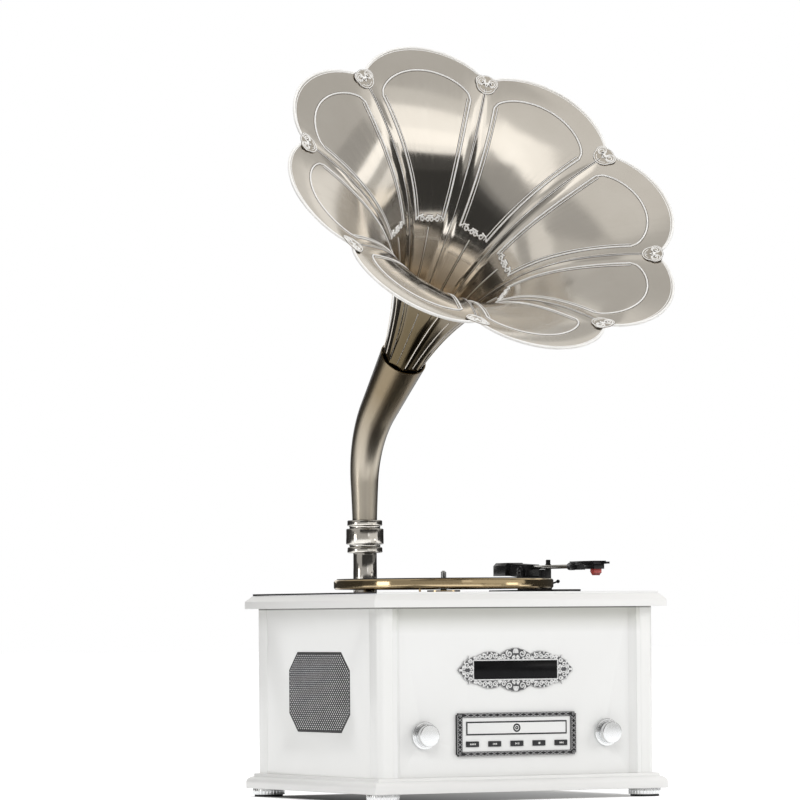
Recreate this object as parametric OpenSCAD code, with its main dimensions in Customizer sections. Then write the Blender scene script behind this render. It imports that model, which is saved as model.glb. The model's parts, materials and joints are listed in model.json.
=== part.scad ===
// Record player with a swivelling petal horn.
// Origin: centre of the cabinet's footprint on the floor. X to the right, Y to the back, Z up.

/* [Cabinet] */
// Width of the base board and the top board
board_w = 440; // [430:1:500]
// Depth of the base board and the top board
board_d = 365; // [360:1:400]
// Thickness of the rubber ring under a foot
pad_t = 3; // [2:0.5:5]
// Height of a foot above its rubber ring
foot_h = 8; // [6:0.5:20]
// Diameter of a foot
foot_d = 43; // [36:1:44]
// Distance from a foot's centre to the edges of the boards
foot_inset = 22.8; // [22:0.2:30]
// Thickness of the base board
base_t = 20; // [18:0.5:28]
// Height of the base board's lower upright edge
base_lip = 8; // [6:0.5:9]
// Radius of the base board's round
base_round = 8; // [5:0.5:9]
// Height of the case between the boards
case_h = 220; // [210:1:280]
// Distance from the edges of the boards to the case
case_inset = 13; // [11:0.5:18]
// Thickness of the top board
top_t = 17; // [14:0.5:22]
// Height of the top board's upright edge
top_lip = 9.6; // [7:0.2:12]
// Width of the top board's bare edge outside the deck plate, above its chamfer
deck_margin = 0.6; // [0.2:0.2:3]
// Thickness of the polished deck plate
deck_t = 3; // [2:0.5:4]
// Width of a corner post
post_w = 25.6; // [22:0.2:32]
// Radius of the front edges of a corner post
post_round = 8; // [3:0.5:9]
// Thickness of a side panel
side_t = 12; // [9:0.5:15]
// Thickness of the front panel
front_t = 10; // [8:0.5:12]
// Recess of the front panel behind the posts
front_recess = 8.5; // [5:0.5:10]
// Thickness of the back panel
back_t = 6; // [4:0.5:8]
// Recess of the back panel behind the rear posts
back_recess = 4; // [2:0.5:4.5]
// Width of the strip inside a rear post that the back panel is screwed to
cleat_w = 14; // [12:1:20]

/* [Front fittings] */
// Height of the display's centre above the base board
display_z = 138; // [130:1:145]
// Width of the display window
window_w = 124.5; // [110:0.5:130]
// Height of the display window
window_h = 22.8; // [20:0.2:25]
// Thickness of the display window
window_t = 4; // [2:0.5:5]
// Width of the ornamental surround
surround_w = 172.7; // [165:0.5:180]
// Height of the ornamental surround
surround_h = 56; // [50:0.5:60]
// Thickness of the surround's plate
surround_t = 3; // [2:0.5:4]
// Height of the control panel's centre above the base board
control_z = 54.4; // [50:0.2:60]
// Width of the control panel's opening in its bezel
control_w = 162.6; // [158:0.2:170]
// Height of the control panel's opening in its bezel
control_h = 44.4; // [42:0.2:50]
// Thickness of the white control panel
control_t = 2.5; // [2:0.1:3]
// Width of the bezel's band at its left and right
bezel_side = 8.7; // [6:0.1:12]
// Width of the bezel's band above and below
bezel_top = 5.8; // [4:0.1:8]
// Thickness of the bezel without its carving
bezel_t = 3.6; // [3:0.1:5]
// Width of the drawer's front
tray_front_w = 151.2; // [145:0.2:154]
// Height of the drawer's front
tray_front_h = 17.4; // [16:0.2:18]
// Height of the drawer's centre above the control panel's centre
tray_rise = 8; // [7:0.2:9]
// Width of a key
button_w = 18.6; // [14:0.2:22]
// Height of a key
button_h = 6.8; // [5:0.2:8]
// Distance from one key to the next
button_pitch = 33.3; // [28:0.1:34]
// Depth of the keys' centres below the control panel's centre
button_drop = 12.4; // [12:0.1:13]
// Travel of a key
button_travel = 1.4; // [0.8:0.1:1.6]
// Distance from a knob's centre to the corner post
knob_inset = 43.8; // [36:0.1:56]
// Diameter of a knob
knob_d = 28.7; // [24:0.1:34]
// Thickness of a knob
knob_t = 10.7; // [8:0.1:16]
// Diameter of the ring behind a knob
ring_d = 36.5; // [34:0.5:44]
// Thickness of the ring behind a knob
ring_t = 6; // [5:0.5:8]

/* [Drawer] */
// Width of the disc tray
tray_w = 140; // [130:1:144]
// Length of the disc tray
tray_len = 150; // [140:1:165]
// Thickness of the disc tray
tray_t = 6; // [5:0.5:7]
// Diameter of the tray's seat for a disc
disc_seat_d = 121; // [120.5:0.5:124]
// Length of the disc player's housing
chassis_len = 170; // [165:1:185]
// Height of the disc player's housing
chassis_h = 42; // [34:1:50]

/* [Loudspeakers] */
// Width of a net
grille_w = 170; // [150:1:190]
// Height of a net
grille_h = 105; // [90:1:120]
// Length cut off each way at a net's corners
grille_cut = 24; // [12:1:32]
// Thickness of a net
grille_t = 1.2; // [1:0.1:2]
// Distance from the cabinet's middle to a net's centre, towards the front
grille_forward = 5; // [0:1:10]
// Diameter of a loudspeaker's flange
speaker_d = 112; // [106:1:125]
// Depth of a loudspeaker behind its panel
speaker_depth = 36; // [34:1:45]

/* [Turntable] */
// Place of the platter's centre, left or right of the cabinet's middle
platter_x = -23; // [-26:1:-20]
// Place of the platter's centre, in front of or behind the cabinet's middle
platter_y = -13; // [-20:1:-12]
// Diameter of the platter
platter_d = 292; // [285:1:300]
// Height of the platter's rim
platter_h = 12.7; // [11:0.1:16]
// Gap between the deck and the platter
platter_gap = 4.7; // [4.2:0.1:7]
// Diameter of the mat
mat_d = 284; // [270:1:284]
// Thickness of the mat
mat_t = 1.2; // [0.8:0.1:2]
// Diameter of the centre pin
pin_d = 7.16; // [7:0.02:7.2]
// Height of the centre pin above the mat
pin_h = 10.4; // [9:0.1:14]
// Diameter of the spindle in its bearing
spindle_d = 8; // [7.4:0.1:10]
// Length of the spindle's bearing below the deck
bearing_len = 46; // [40:1:60]
// Diameter of the ring under the platter that the belt runs on
belt_ring_d = 150; // [140:1:170]
// Diameter of the motor's pulley
pulley_d = 10; // [8:0.5:14]
// Distance from the spindle to the pulley
pulley_reach = 115; // [110:1:120]
// Diameter of the motor
motor_d = 50; // [36:1:56]
// Height of the motor
motor_h = 28; // [20:1:36]

/* [Tonearm] */
// Place of the arm's pivot to the right of the cabinet's middle
arm_x = 157; // [154:1:160]
// Place of the arm's pivot behind the cabinet's middle
arm_y = 72; // [68:1:78]
// Angle of the parked arm to the cabinet's side
park_angle = 5; // [3:0.5:8]
// Height of the arm tube's axis above the deck
tube_rise = 33.8; // [32:0.2:38]
// Diameter of the arm tube
tube_d = 5.4; // [4:0.1:7]
// Distance from the pivot to the end of the arm tube
tube_len = 131; // [125:1:140]
// Length of the headshell from its collar to the end of its plate
headshell_len = 91; // [84:1:100]
// Width of the headshell's plate
headshell_w = 18; // [14:0.5:22]
// Width of the rear housing of the arm
weight_w = 30; // [24:1:34]
// Distance from the pivot to the back of the arm's rear housing
weight_reach = 81; // [70:1:84]
// Distance from the pivot to the arm rest
rest_reach = 53; // [46:1:80]
// Width of the arm unit's base plate
arm_base_w = 46; // [42:1:48]

/* [Horn] */
// Place of the horn post, left or right of the cabinet's middle
horn_x = -52; // [-62:1:-42]
// Place of the horn post behind the cabinet's middle
horn_y = 152.5; // [151:0.5:154]
// Diameter of the horn post
horn_post_d = 32; // [30:0.5:33]
// Height of the horn post above the deck
horn_post_h = 55; // [45:1:80]
// Diameter of the collar's two flanges
flange_d = 47.6; // [46:0.2:50]
// Diameter of the collar's drum
drum_d = 51; // [49:0.5:54]
// Height of the collar's drum
drum_h = 21.5; // [19:0.5:30]
// Height of a flange of the collar
flange_h = 7.8; // [7:0.2:10]
// Height of a groove of the collar
groove_h = 3.6; // [2:0.1:5]
// Diameter of the elbow where it leaves the collar
elbow_d = 33.5; // [33:0.2:38]
// Height of the elbow's straight foot
elbow_rise = 52; // [30:0.2:80]
// Radius of the elbow's bend
elbow_r = 132; // [110:1:180]
// Length of the elbow's straight end
elbow_end = 97.4; // [70:0.2:120]
// Slope of the elbow's end above the horizontal
elbow_tilt = 43.5; // [35:0.1:60]
// Diameter of the elbow's mouth
mouth_d = 64; // [61:0.5:70]
// Thickness of the elbow's wall
elbow_wall = 1.5; // [1:0.1:2.5]
// Slope of the horn's axis above the horizontal
horn_tilt = 41.3; // [30:0.1:60]
// Length of the horn from the elbow's mouth to the notches between petals
horn_len = 291.6; // [250:0.1:330]
// Distance that the horn's bowed middle line rises above its straight axis
horn_bow = 5.7; // [0:0.1:10]
// Radius of the horn at the notches between petals
notch_r = 241; // [210:1:260]
// Distance that a petal's tip stands out beyond the notches
petal_rise = 38.6; // [20:0.2:50]
// Distance that a petal's tip leans forward of the notches
petal_lean = 9.3; // [4:0.1:14]
// Radius of the horn at the elbow's mouth
throat_r = 28.5; // [27:0.1:29]
// Thickness of the horn's sheet
sheet_t = 1.2; // [0.8:0.1:2]
// Height of the raised edge along a petal's seams and rim
rib_h = 1.4; // [0.6:0.1:2]
// Gap between two petals along a seam
seam_gap = 0.3; // [0.2:0.05:0.6]
// Length of the horn's neck inside the elbow
neck_len = 35; // [30:1:38]
// Diameter of the medallions on the notches
medallion_d = 31; // [24:1:36]
// Thickness of a medallion
medallion_t = 2.4; // [1.5:0.1:4]

/* [Hidden] */

$fn = 96;

// Clearances
running_fit = 0.05;
seat_gap = 0.2;
joint_gap = 0.3;
// Amount by which a cut runs past a face
over = 1;

// Levels
base_z = pad_t + foot_h;
case_z = base_z + base_t;
top_z = case_z + case_h;
plate_z = top_z + top_t;
deck_z = plate_z + deck_t;

// Places of the case
case_x = board_w / 2 - case_inset;
case_y = board_d / 2 - case_inset;
side_in = case_x - side_t;
panel_y = -case_y + front_recess;
panel_in = panel_y + front_t;
panel_x = case_x - post_w - joint_gap;
back_y = case_y - back_recess;
back_in = back_y - back_t;
back_corner = 3;
chamfer = top_t - top_lip;
deck_inset = chamfer + deck_margin;

// Feet
foot_flutes = 28;
flute_d = 2.4;
pad_d = foot_d - 5;
pad_hole_d = 10;

// Back panel
screw_d = 3;
screw_len = 9;
screw_head_d = 6.4;
screw_head_h = 1.8;
screw_rows = 4;
screw_margin = 20;
screw_x = case_x - post_w - cleat_w / 2;
rear_z = case_z + 44;
inlet_x = -120;
inlet_w = 28;
inlet_h = 20;
inlet_depth = 12;
sockets_x = -60;
sockets_w = 30;
sockets_h = 14;
socket_d = 8.2;
socket_len = 8;

// Inside the case
main_board_x = 60;
main_board_y = 80;
main_board_w = 140;
main_board_d = 100;
pillar_d = 6;
pillar_h = 8;
capacitor_d = 14;
capacitor_h = 24;
transformer_x = -140;
transformer_y = 90;
transformer_w = 56;
transformer_d = 48;
transformer_h = 44;

// Nets and loudspeakers
grille_z = case_z + case_h / 2;
speaker_hole_d = speaker_d - 16;
speaker_ring_t = 3;
speaker_magnet_d = speaker_d - 52;
speaker_magnet_h = 14;
cone_t = 0.8;

// Display
display_mid = case_z + display_z;
surround_rise = 1.6;
surround_lobes = 34;
lobe_r = 7.2;
board_t = 1.6;
module_depth = front_t - window_t + 1;
window_proud = 1.2;

// Control panel and keys
control_mid = case_z + control_z;
control_ledge = 2.2;
carving_h = 1.4;
carving_pitch = 10.6;
tray_mid = control_mid + tray_rise;
button_mid = control_mid - button_drop;
button_proud = 1.6;
button_flange = 1.1;
button_flange_t = 1.5;
button_stem_d = 4.4;
switch_w = 6;
switch_h = 3.5;
plunger_d = 3.4;
plunger_h = 0.7;
switch_face = panel_y + 7.7;
button_board_y = switch_face + plunger_h + switch_h;
button_board_x = control_w / 2 + 9;
button_board_h = 19;

// Knobs
knob_x = panel_x - knob_inset;
shaft_d = 6;
shaft_len = 16;
bushing_d = 7;
bushing_len = front_t + 2;
control_body_d = 16.4;
control_body_h = 10;
knob_gap = 0.4;
knob_edge = 0.8;
ring_hole_d = 16;

// Drawer
chassis_z = tray_mid - tray_front_h / 2 - 1.7;
chassis_wall = 1.5;
chassis_x = tray_w / 2 + 6;
rail_w = 10;
tray_bottom = chassis_z + 3.4;
tray_front_t = 3;
disc_seat_depth = 2;
chassis_leg_d = 10;

// Turntable
platter_z = deck_z + platter_gap;
platter_plate_t = 5;
platter_rim_w = 14;
mat_z = platter_z + platter_h;
belt_t = 0.8;
belt_h = 4;
belt_steps = 48;
belt_z = platter_z + 1.8;
bearing_flange_d = 44;
bearing_flange_h = 3;
bearing_d = 18;
bearing_floor = 4;
spindle_end = deck_z - bearing_len + bearing_floor + 0.1;
pin_root_d = pin_d + 0.44;
pulley_turn = 225;
pulley_x = platter_x + pulley_reach * cos(pulley_turn);
pulley_y = platter_y + pulley_reach * sin(pulley_turn);
pulley_hole_d = 11;
motor_shaft_d = 3;
motor_plate_t = 2;

// Tonearm
tube_z = deck_z + tube_rise;
arm_base_t = 3.6;
arm_base_front = 103;
arm_base_back = 71;
rest_len = 12;
rest_w = 13;
rest_hook_h = 4;
rest_tip_h = 6;
rest_tip_inset = 2;
cheek_w = 18;
arm_shaft_d = 12;
arm_sleeve_d = 18;
arm_sleeve_len = 18;
turret_z = deck_z + 7.5;
turret_top = deck_z + 15;
turret_d = 30;
hub_w = 20;
hub_z = tube_z - 7;
cheek_t = 3;
hub_pin_d = 4;
weight_len = 39;
collar_len = 11;
headshell_top = tube_z + 6.5;
plate_t = 4.3;
cartridge_len = 30;
cartridge_w = 15;
cartridge_h = 6.5;
stylus_h = 8.6;
cue_x = 14;
cue_reach = 30;
cue_len = 26;
cue_z = deck_z + 10;

// Horn
collar_z = deck_z + horn_post_h;
journal_d = 24;
journal_h = 16;
collar_cavity_d = 38;
collar_top = collar_z + 2 * flange_h + 2 * groove_h + drum_h;
stud_d = 11;
bend_angle = 90 - elbow_tilt;
elbow_bend_z = collar_top + elbow_rise;
mouth_y = horn_y - elbow_r * (1 - cos(bend_angle)) - elbow_end * sin(bend_angle);
mouth_z = elbow_bend_z + elbow_r * sin(bend_angle) + elbow_end * cos(bend_angle);
bend_len = elbow_r * bend_angle * PI / 180;
elbow_len = elbow_rise + bend_len + elbow_end;
elbow_swell = 1.25;
elbow_sides = 32;
elbow_rings = 24;
petals = 8;
petal_half = 180 / petals;
petal_rows = 18;
petal_cols = 12;
// Cone, rate and power of the flare of the seams between petals
flare_cone = 0.155;
flare_rate = 2.239;
flare_power = 1.536;

// Places two copies of a shape, left and right
module both_sides() {
  children();
  mirror([1, 0, 0]) children();
}

// Places four copies of a shape, mirrored to the four corners
module four_corners() {
  both_sides() {
    children();
    mirror([0, 1, 0]) children();
  }
}

// A box by its two corners
module block(low, high) {
  translate(low) cube(high - low);
}

// A box with its round vertical edges
module rounded_block(low, high, r) {
  translate([low.x + r, low.y, low.z]) cube([high.x - low.x - 2 * r, high.y - low.y, high.z - low.z]);
  translate([low.x, low.y + r, low.z]) cube([high.x - low.x, high.y - low.y - 2 * r, high.z - low.z]);
  for (x = [low.x + r, high.x - r], y = [low.y + r, high.y - r])
    translate([x, y, low.z]) cylinder(r = r, h = high.z - low.z, $fn = 48);
}

// A cylinder along Y, from its front end
module rod_y(x, front, z, d, len) {
  translate([x, front, z]) rotate([-90, 0, 0]) cylinder(d = d, h = len);
}

// A board whose four edges have the moulding that a profile gives, mitred at its corners
module moulded_board(z) {
  intersection() {
    translate([0, board_d / 2 + over, z]) rotate([90, 0, 0])
      linear_extrude(board_d + 2 * over) children(0);
    translate([-board_w / 2 - over, 0, z]) rotate([90, 0, 90])
      linear_extrude(board_w + 2 * over) children(1);
  }
}

// Cabinet

module foot() {
  difference() {
    cylinder(d = foot_d, h = foot_h);
    for (i = [0 : foot_flutes - 1])
      rotate(i * 360 / foot_flutes)
        translate([foot_d / 2 + flute_d / 4, 0, -over])
          cylinder(d = flute_d, h = foot_h + 2 * over, $fn = 24);
  }
}

module feet() {
  color("silver")
    four_corners()
      translate([board_w / 2 - foot_inset, board_d / 2 - foot_inset, pad_t]) foot();
}

module foot_pads() {
  color("black")
    four_corners()
      translate([board_w / 2 - foot_inset, board_d / 2 - foot_inset, 0])
        difference() {
          cylinder(d = pad_d, h = pad_t);
          translate([0, 0, -over]) cylinder(d = pad_hole_d, h = pad_t + 2 * over);
        }
}

module base_profile(half) {
  intersection() {
    translate([-half, 0]) square([2 * half, base_t]);
    union() {
      translate([-half, 0]) square([2 * half, base_lip]);
      translate([base_round - half, 0]) square([2 * (half - base_round), base_t]);
      for (side = [-1, 1]) translate([side * (half - base_round), base_lip]) circle(r = base_round);
    }
  }
}

module base_board() {
  color("white")
    moulded_board(base_z) {
      base_profile(board_w / 2);
      base_profile(board_d / 2);
    }
}

module top_profile(half) {
  polygon([
    [-half, 0],
    [half, 0],
    [half, top_lip],
    [half - chamfer, top_t],
    [chamfer - half, top_t],
    [-half, top_lip]
  ]);
}

// The holes that the deck's fittings pass through
module deck_holes() {
  translate([platter_x, platter_y, top_z - over])
    cylinder(d = bearing_d + 2 * seat_gap, h = top_t + deck_t + 2 * over);
  translate([pulley_x, pulley_y, top_z - over])
    cylinder(d = pulley_hole_d, h = top_t + deck_t + 2 * over);
  translate([arm_x, arm_y, top_z - over])
    cylinder(d = arm_sleeve_d + 2 * seat_gap, h = top_t + deck_t + 2 * over);
  translate([horn_x, horn_y, top_z - over])
    cylinder(d = stud_d + 2 * seat_gap, h = top_t + deck_t + 2 * over);
}

module top_board() {
  color("white")
    difference() {
      moulded_board(top_z) {
        top_profile(board_w / 2);
        top_profile(board_d / 2);
      }
      deck_holes();
    }
}

module deck_plate() {
  x = board_w / 2 - deck_inset;
  y = board_d / 2 - deck_inset;
  color("gainsboro")
    difference() {
      block([-x, -y, plate_z], [x, y, deck_z]);
      deck_holes();
    }
}

// A post's section, with its rounded edges at low y and its outer face at high x
module post_section(r) {
  translate([0, r]) square([post_w, post_w - r]);
  translate([r, 0]) square([post_w - 2 * r, post_w]);
  for (x = [r, post_w - r]) translate([x, r]) circle(r = r, $fn = 64);
}

module corner_posts() {
  color("white")
    both_sides() {
      translate([case_x - post_w, -case_y, case_z])
        linear_extrude(case_h) post_section(post_round);
      translate([case_x - post_w, case_y, case_z])
        mirror([0, 1, 0]) linear_extrude(case_h) post_section(back_corner);
      difference() {
        block([case_x - post_w - cleat_w, case_y - post_w, case_z],
              [case_x - post_w, back_in - joint_gap, top_z]);
        for (z = screw_levels()) rod_y(screw_x, back_in - screw_len, z, screw_d + 0.2, screw_len);
      }
    }
}

// A net's outline, as wide as its y length and as high as its z height, grown by a gap
module net_outline(grow) {
  y = grille_w / 2 + grow;
  z = grille_h / 2 + grow;
  cut = grille_cut + grow * (2 - sqrt(2));
  polygon([
    [y - cut, -z], [y, cut - z], [y, z - cut], [y - cut, z],
    [cut - y, z], [-y, z - cut], [-y, cut - z], [cut - y, -z]
  ]);
}

// Turns a drawing so that its first axis lies along Y and it is extruded towards +X
module on_right_side(x, h) {
  translate([x, -grille_forward, grille_z]) rotate([90, 0, 90]) linear_extrude(h) children();
}

// The right side panel; the left one is its mirror image
module side_panel() {
  y = case_y - post_w - joint_gap;
  color("white")
    difference() {
      block([side_in, -y, case_z], [case_x, y, top_z]);
      on_right_side(case_x - grille_t, grille_t + over) net_outline(seat_gap);
      on_right_side(side_in - over, side_t + over) circle(d = speaker_hole_d);
    }
}

module right_side() {
  side_panel();
}

module left_side() {
  mirror([1, 0, 0]) side_panel();
}

module net() {
  color("dimgray") on_right_side(case_x - grille_t, grille_t) net_outline(0);
}

module right_grille() {
  net();
}

module left_grille() {
  mirror([1, 0, 0]) net();
}

// A loudspeaker's section: distance from its axis, distance behind the panel
module speaker_frame_section() {
  in_r = speaker_hole_d / 2;
  out_r = speaker_d / 2;
  magnet_r = speaker_magnet_d / 2;
  back = speaker_depth - speaker_magnet_h;
  difference() {
    polygon([[0, back], [in_r - 4, 0], [out_r, 0], [out_r, speaker_ring_t],
             [out_r - 4, speaker_ring_t], [magnet_r, back], [magnet_r, speaker_depth], [0, speaker_depth]]);
    polygon([[0, -over], [in_r, -over], [in_r, cone_t], [in_r - 4, cone_t],
             [magnet_r - 3, back - 2], [0, back - 2]]);
  }
}

module speaker_cone_section() {
  r = speaker_hole_d / 2 - seat_gap;
  cap_r = r / 4;
  deep = speaker_depth - speaker_magnet_h - 7;
  polygon([[0, deep - cone_t], [cap_r, deep - cone_t], [r - 5, -cone_t / 2], [r, 0],
           [r, cone_t], [r - 5, cone_t], [cap_r, deep], [0, deep]]);
}

module behind_both_sides() {
  both_sides()
    translate([side_in, -grille_forward, grille_z]) rotate([0, -90, 0]) rotate_extrude() children();
}

module speaker_frames() {
  color("dimgray") behind_both_sides() speaker_frame_section();
}

module speaker_cones() {
  color("darkgray") behind_both_sides() speaker_cone_section();
}

module front_panel() {
  color("white")
    difference() {
      translate([0, 0, case_z])
        linear_extrude(case_h)
          polygon([
            [-panel_x, -case_y], [-panel_x + front_recess, panel_y],
            [panel_x - front_recess, panel_y], [panel_x, -case_y],
            [panel_x, panel_in], [-panel_x, panel_in]
          ]);
      block([-window_w / 2 - seat_gap, panel_y - over, display_mid - window_h / 2 - seat_gap],
            [window_w / 2 + seat_gap, panel_in + over, display_mid + window_h / 2 + seat_gap]);
      block([-control_w / 2 + control_ledge, panel_y - over, control_mid - control_h / 2 + control_ledge],
            [control_w / 2 - control_ledge, panel_in + over, control_mid + control_h / 2 - control_ledge]);
      key_openings(panel_y - over, panel_in + over, button_flange + seat_gap);
      both_sides() rod_y(knob_x, panel_y - over, control_mid, bushing_d + seat_gap, front_t + 2 * over);
    }
}

// Levels of the back panel's screws
function screw_levels() =
  let (low = case_z + screw_margin, high = top_z - screw_margin)
    [for (i = [0 : screw_rows - 1]) low + i * (high - low) / (screw_rows - 1)];

module back_panel() {
  x = panel_x;
  color("white")
    difference() {
      block([-x, back_in, case_z], [x, back_y, top_z]);
      block([inlet_x - inlet_w / 2 - seat_gap, back_in - over, rear_z - inlet_h / 2 - seat_gap],
            [inlet_x + inlet_w / 2 + seat_gap, back_y + over, rear_z + inlet_h / 2 + seat_gap]);
      block([sockets_x - sockets_w / 2 - seat_gap, back_in - over, rear_z - sockets_h / 2 - seat_gap],
            [sockets_x + sockets_w / 2 + seat_gap, back_y + over, rear_z + sockets_h / 2 + seat_gap]);
      both_sides()
        for (z = screw_levels()) rod_y(screw_x, back_in - over, z, screw_d + 0.4, back_t + 2 * over);
    }
}

module case_screws() {
  color("dimgray")
    both_sides()
      for (z = screw_levels()) {
        rod_y(screw_x, back_in - screw_len + over, z, screw_d, back_t + screw_len - over);
        rod_y(screw_x, back_y, z, screw_head_d, screw_head_h);
      }
}

// Display

function ellipse_points(a, b, n) = [for (i = [0 : n - 1]) [a * cos(i * 360 / n), b * sin(i * 360 / n)]];

module on_front(y, h) {
  translate([0, y, 0]) rotate([90, 0, 0]) linear_extrude(h) children();
}

module display_surround() {
  a = surround_w / 2 - lobe_r;
  b = surround_h / 2 - lobe_r;
  color("silver")
    difference() {
      union() {
        on_front(panel_y, surround_t)
          translate([0, display_mid]) {
            polygon(ellipse_points(a, b, surround_lobes));
            square([window_w + 12, window_h + 10], center = true);
            for (p = ellipse_points(a, b, surround_lobes)) translate(p) circle(r = lobe_r, $fn = 32);
          }
        for (p = ellipse_points(a, b, surround_lobes))
          translate([p.x, panel_y - surround_t, display_mid + p.y]) rotate([90, 0, 0])
            cylinder(r = lobe_r - 2.6, h = surround_rise, $fn = 32);
      }
      block([-window_w / 2 - seat_gap, panel_y - surround_t - surround_rise - over,
             display_mid - window_h / 2 - seat_gap],
            [window_w / 2 + seat_gap, panel_y + over, display_mid + window_h / 2 + seat_gap]);
    }
}

module display_window() {
  y = panel_y - window_proud;
  color("black")
    block([-window_w / 2, y, display_mid - window_h / 2], [window_w / 2, y + window_t, display_mid + window_h / 2]);
}

module display_board() {
  w = window_w - 4;
  h = window_h - 3;
  color("darkgreen") {
    block([-w / 2, panel_in - module_depth, display_mid - h / 2], [w / 2, panel_in, display_mid + h / 2]);
    block([-w / 2 - 14, panel_in, display_mid - h / 2 - 8], [w / 2 + 14, panel_in + board_t, display_mid + h / 2 + 8]);
  }
}

// Control panel

module carving(x, z) {
  translate([x, panel_y - bezel_t, z]) rotate([90, 45, 0])
    translate([-1.5, -1.5, 0]) cube([3, 3, carving_h]);
}

module control_bezel() {
  w = control_w / 2 + bezel_side;
  h = control_h / 2 + bezel_top;
  notch = 3;
  columns = floor((2 * w - 6) / carving_pitch);
  rows = floor((2 * h - 6) / carving_pitch);
  color("dimgray")
    difference() {
      union() {
        on_front(panel_y, bezel_t)
          translate([0, control_mid])
            difference() {
              square([2 * w, 2 * h], center = true);
              for (x = [-w, w], z = [-h, h]) translate([x, z]) circle(d = notch, $fn = 32);
            }
        for (i = [0 : columns], side = [-1, 1])
          carving((i - columns / 2) * carving_pitch, control_mid + side * (h - bezel_top / 2));
        for (i = [1 : rows - 1], side = [-1, 1])
          carving(side * (w - bezel_side / 2), control_mid + (i - rows / 2) * carving_pitch);
      }
      block([-control_w / 2, panel_y - bezel_t - carving_h - over, control_mid - control_h / 2],
            [control_w / 2, panel_y + over, control_mid + control_h / 2]);
    }
}

// The openings for the keys between two depths, wider than a key by gap on each side
module key_openings(near, far, gap) {
  x = button_w / 2 + gap;
  z = button_h / 2 + gap;
  for (i = [-2 : 2])
    block([i * button_pitch - x, near, button_mid - z], [i * button_pitch + x, far, button_mid + z]);
}

module control_panel() {
  x = control_w / 2 - seat_gap;
  z = control_h / 2 - seat_gap;
  front = panel_y - control_t;
  color("white")
    difference() {
      block([-x, front, control_mid - z], [x, panel_y, control_mid + z]);
      block([-tray_front_w / 2 - seat_gap, front - over, tray_mid - tray_front_h / 2 - seat_gap],
            [tray_front_w / 2 + seat_gap, panel_y + over, tray_mid + tray_front_h / 2 + seat_gap]);
      key_openings(front - over, panel_y + over, seat_gap);
    }
}

// A key in its place in the row, with its flange behind the panel and its stem
module key(place) {
  x = place * button_pitch;
  flange_y = panel_y + seat_gap;
  stem_y = flange_y + button_flange_t;
  color("dimgray") {
    block([x - button_w / 2, panel_y - control_t - button_proud, button_mid - button_h / 2],
          [x + button_w / 2, flange_y, button_mid + button_h / 2]);
    block([x - button_w / 2 - button_flange, flange_y, button_mid - button_h / 2 - button_flange],
          [x + button_w / 2 + button_flange, stem_y, button_mid + button_h / 2 + button_flange]);
    rod_y(x, stem_y, button_mid, button_stem_d, switch_face - joint_gap - button_travel - stem_y);
  }
}

module source_button() {
  key(-2);
}

module previous_button() {
  key(-1);
}

module play_button() {
  key(0);
}

module stop_button() {
  key(1);
}

module next_button() {
  key(2);
}

module button_board() {
  y = button_board_y;
  pillar_x = button_board_x - 4;
  color("darkgreen") {
    block([-button_board_x, y, button_mid - button_board_h / 2 - 1.5],
          [button_board_x, y + board_t, button_mid + button_board_h / 2 - 1.5]);
    for (x = [-pillar_x, pillar_x]) rod_y(x, panel_in, button_mid, 6, y - panel_in);
    for (i = [-2 : 2]) {
      block([i * button_pitch - switch_w / 2, y - switch_h, button_mid - switch_w / 2],
            [i * button_pitch + switch_w / 2, y, button_mid + switch_w / 2]);
      rod_y(i * button_pitch, switch_face, button_mid, plunger_d, plunger_h);
    }
  }
}

// Knobs

module knob_controls() {
  color("gray")
    both_sides()
      difference() {
        union() {
          rod_y(knob_x, panel_in - bushing_len, control_mid, bushing_d, bushing_len);
          rod_y(knob_x, panel_in, control_mid, control_body_d, control_body_h);
        }
        rod_y(knob_x, panel_in - bushing_len - over, control_mid, shaft_d + 2 * running_fit,
              bushing_len + over + shaft_len - front_t);
      }
}

module knob_rings() {
  step = ring_t * 0.7;
  color("silver")
    both_sides()
      translate([knob_x, panel_y, control_mid]) rotate([90, 0, 0])
        rotate_extrude()
          polygon([
            [ring_hole_d / 2, 0], [ring_d / 2, 0], [ring_d / 2, step - 0.6], [ring_d / 2 - 0.6, step],
            [ring_d / 2 - 3, step], [ring_d / 2 - 3, ring_t], [ring_hole_d / 2, ring_t]
          ]);
}

// A knob with its shaft, turned about its own axis
module knob(x) {
  low = ring_t + knob_gap;
  high = low + knob_t;
  r = knob_d / 2;
  color("silver")
    translate([x, panel_y, control_mid]) rotate([90, 0, 0])
      rotate_extrude()
        polygon([
          [0, 0.5 - shaft_len], [shaft_d / 2, 0.5 - shaft_len], [shaft_d / 2, low], [r - knob_edge, low],
          [r, low + knob_edge], [r, high - knob_edge], [r - knob_edge, high], [0, high]
        ]);
}

module volume_knob() {
  knob(-knob_x);
}

module tuning_knob() {
  knob(knob_x);
}

// Disc drawer

module cd_chassis() {
  front = panel_in + 0.5;
  back = front + chassis_len;
  wall = chassis_wall;
  high = chassis_z + chassis_h;
  leg_x = chassis_x - chassis_leg_d;
  color("lightgray") {
    difference() {
      block([-chassis_x, front, chassis_z], [chassis_x, back, high]);
      block([wall - chassis_x, front - over, chassis_z + wall], [chassis_x - wall, back - wall, high - wall]);
    }
    both_sides() {
      block([tray_w / 2 - rail_w, front, chassis_z + wall], [tray_w / 2, back - wall, tray_bottom - joint_gap]);
      block([tray_w / 2 + joint_gap + 0.1, front, chassis_z + wall], [chassis_x - wall, back - wall, tray_bottom + tray_t]);
      for (y = [front + 2 * chassis_leg_d, back - chassis_leg_d])
        translate([leg_x, y, case_z]) cylinder(d = chassis_leg_d, h = chassis_z - case_z);
    }
  }
}

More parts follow.
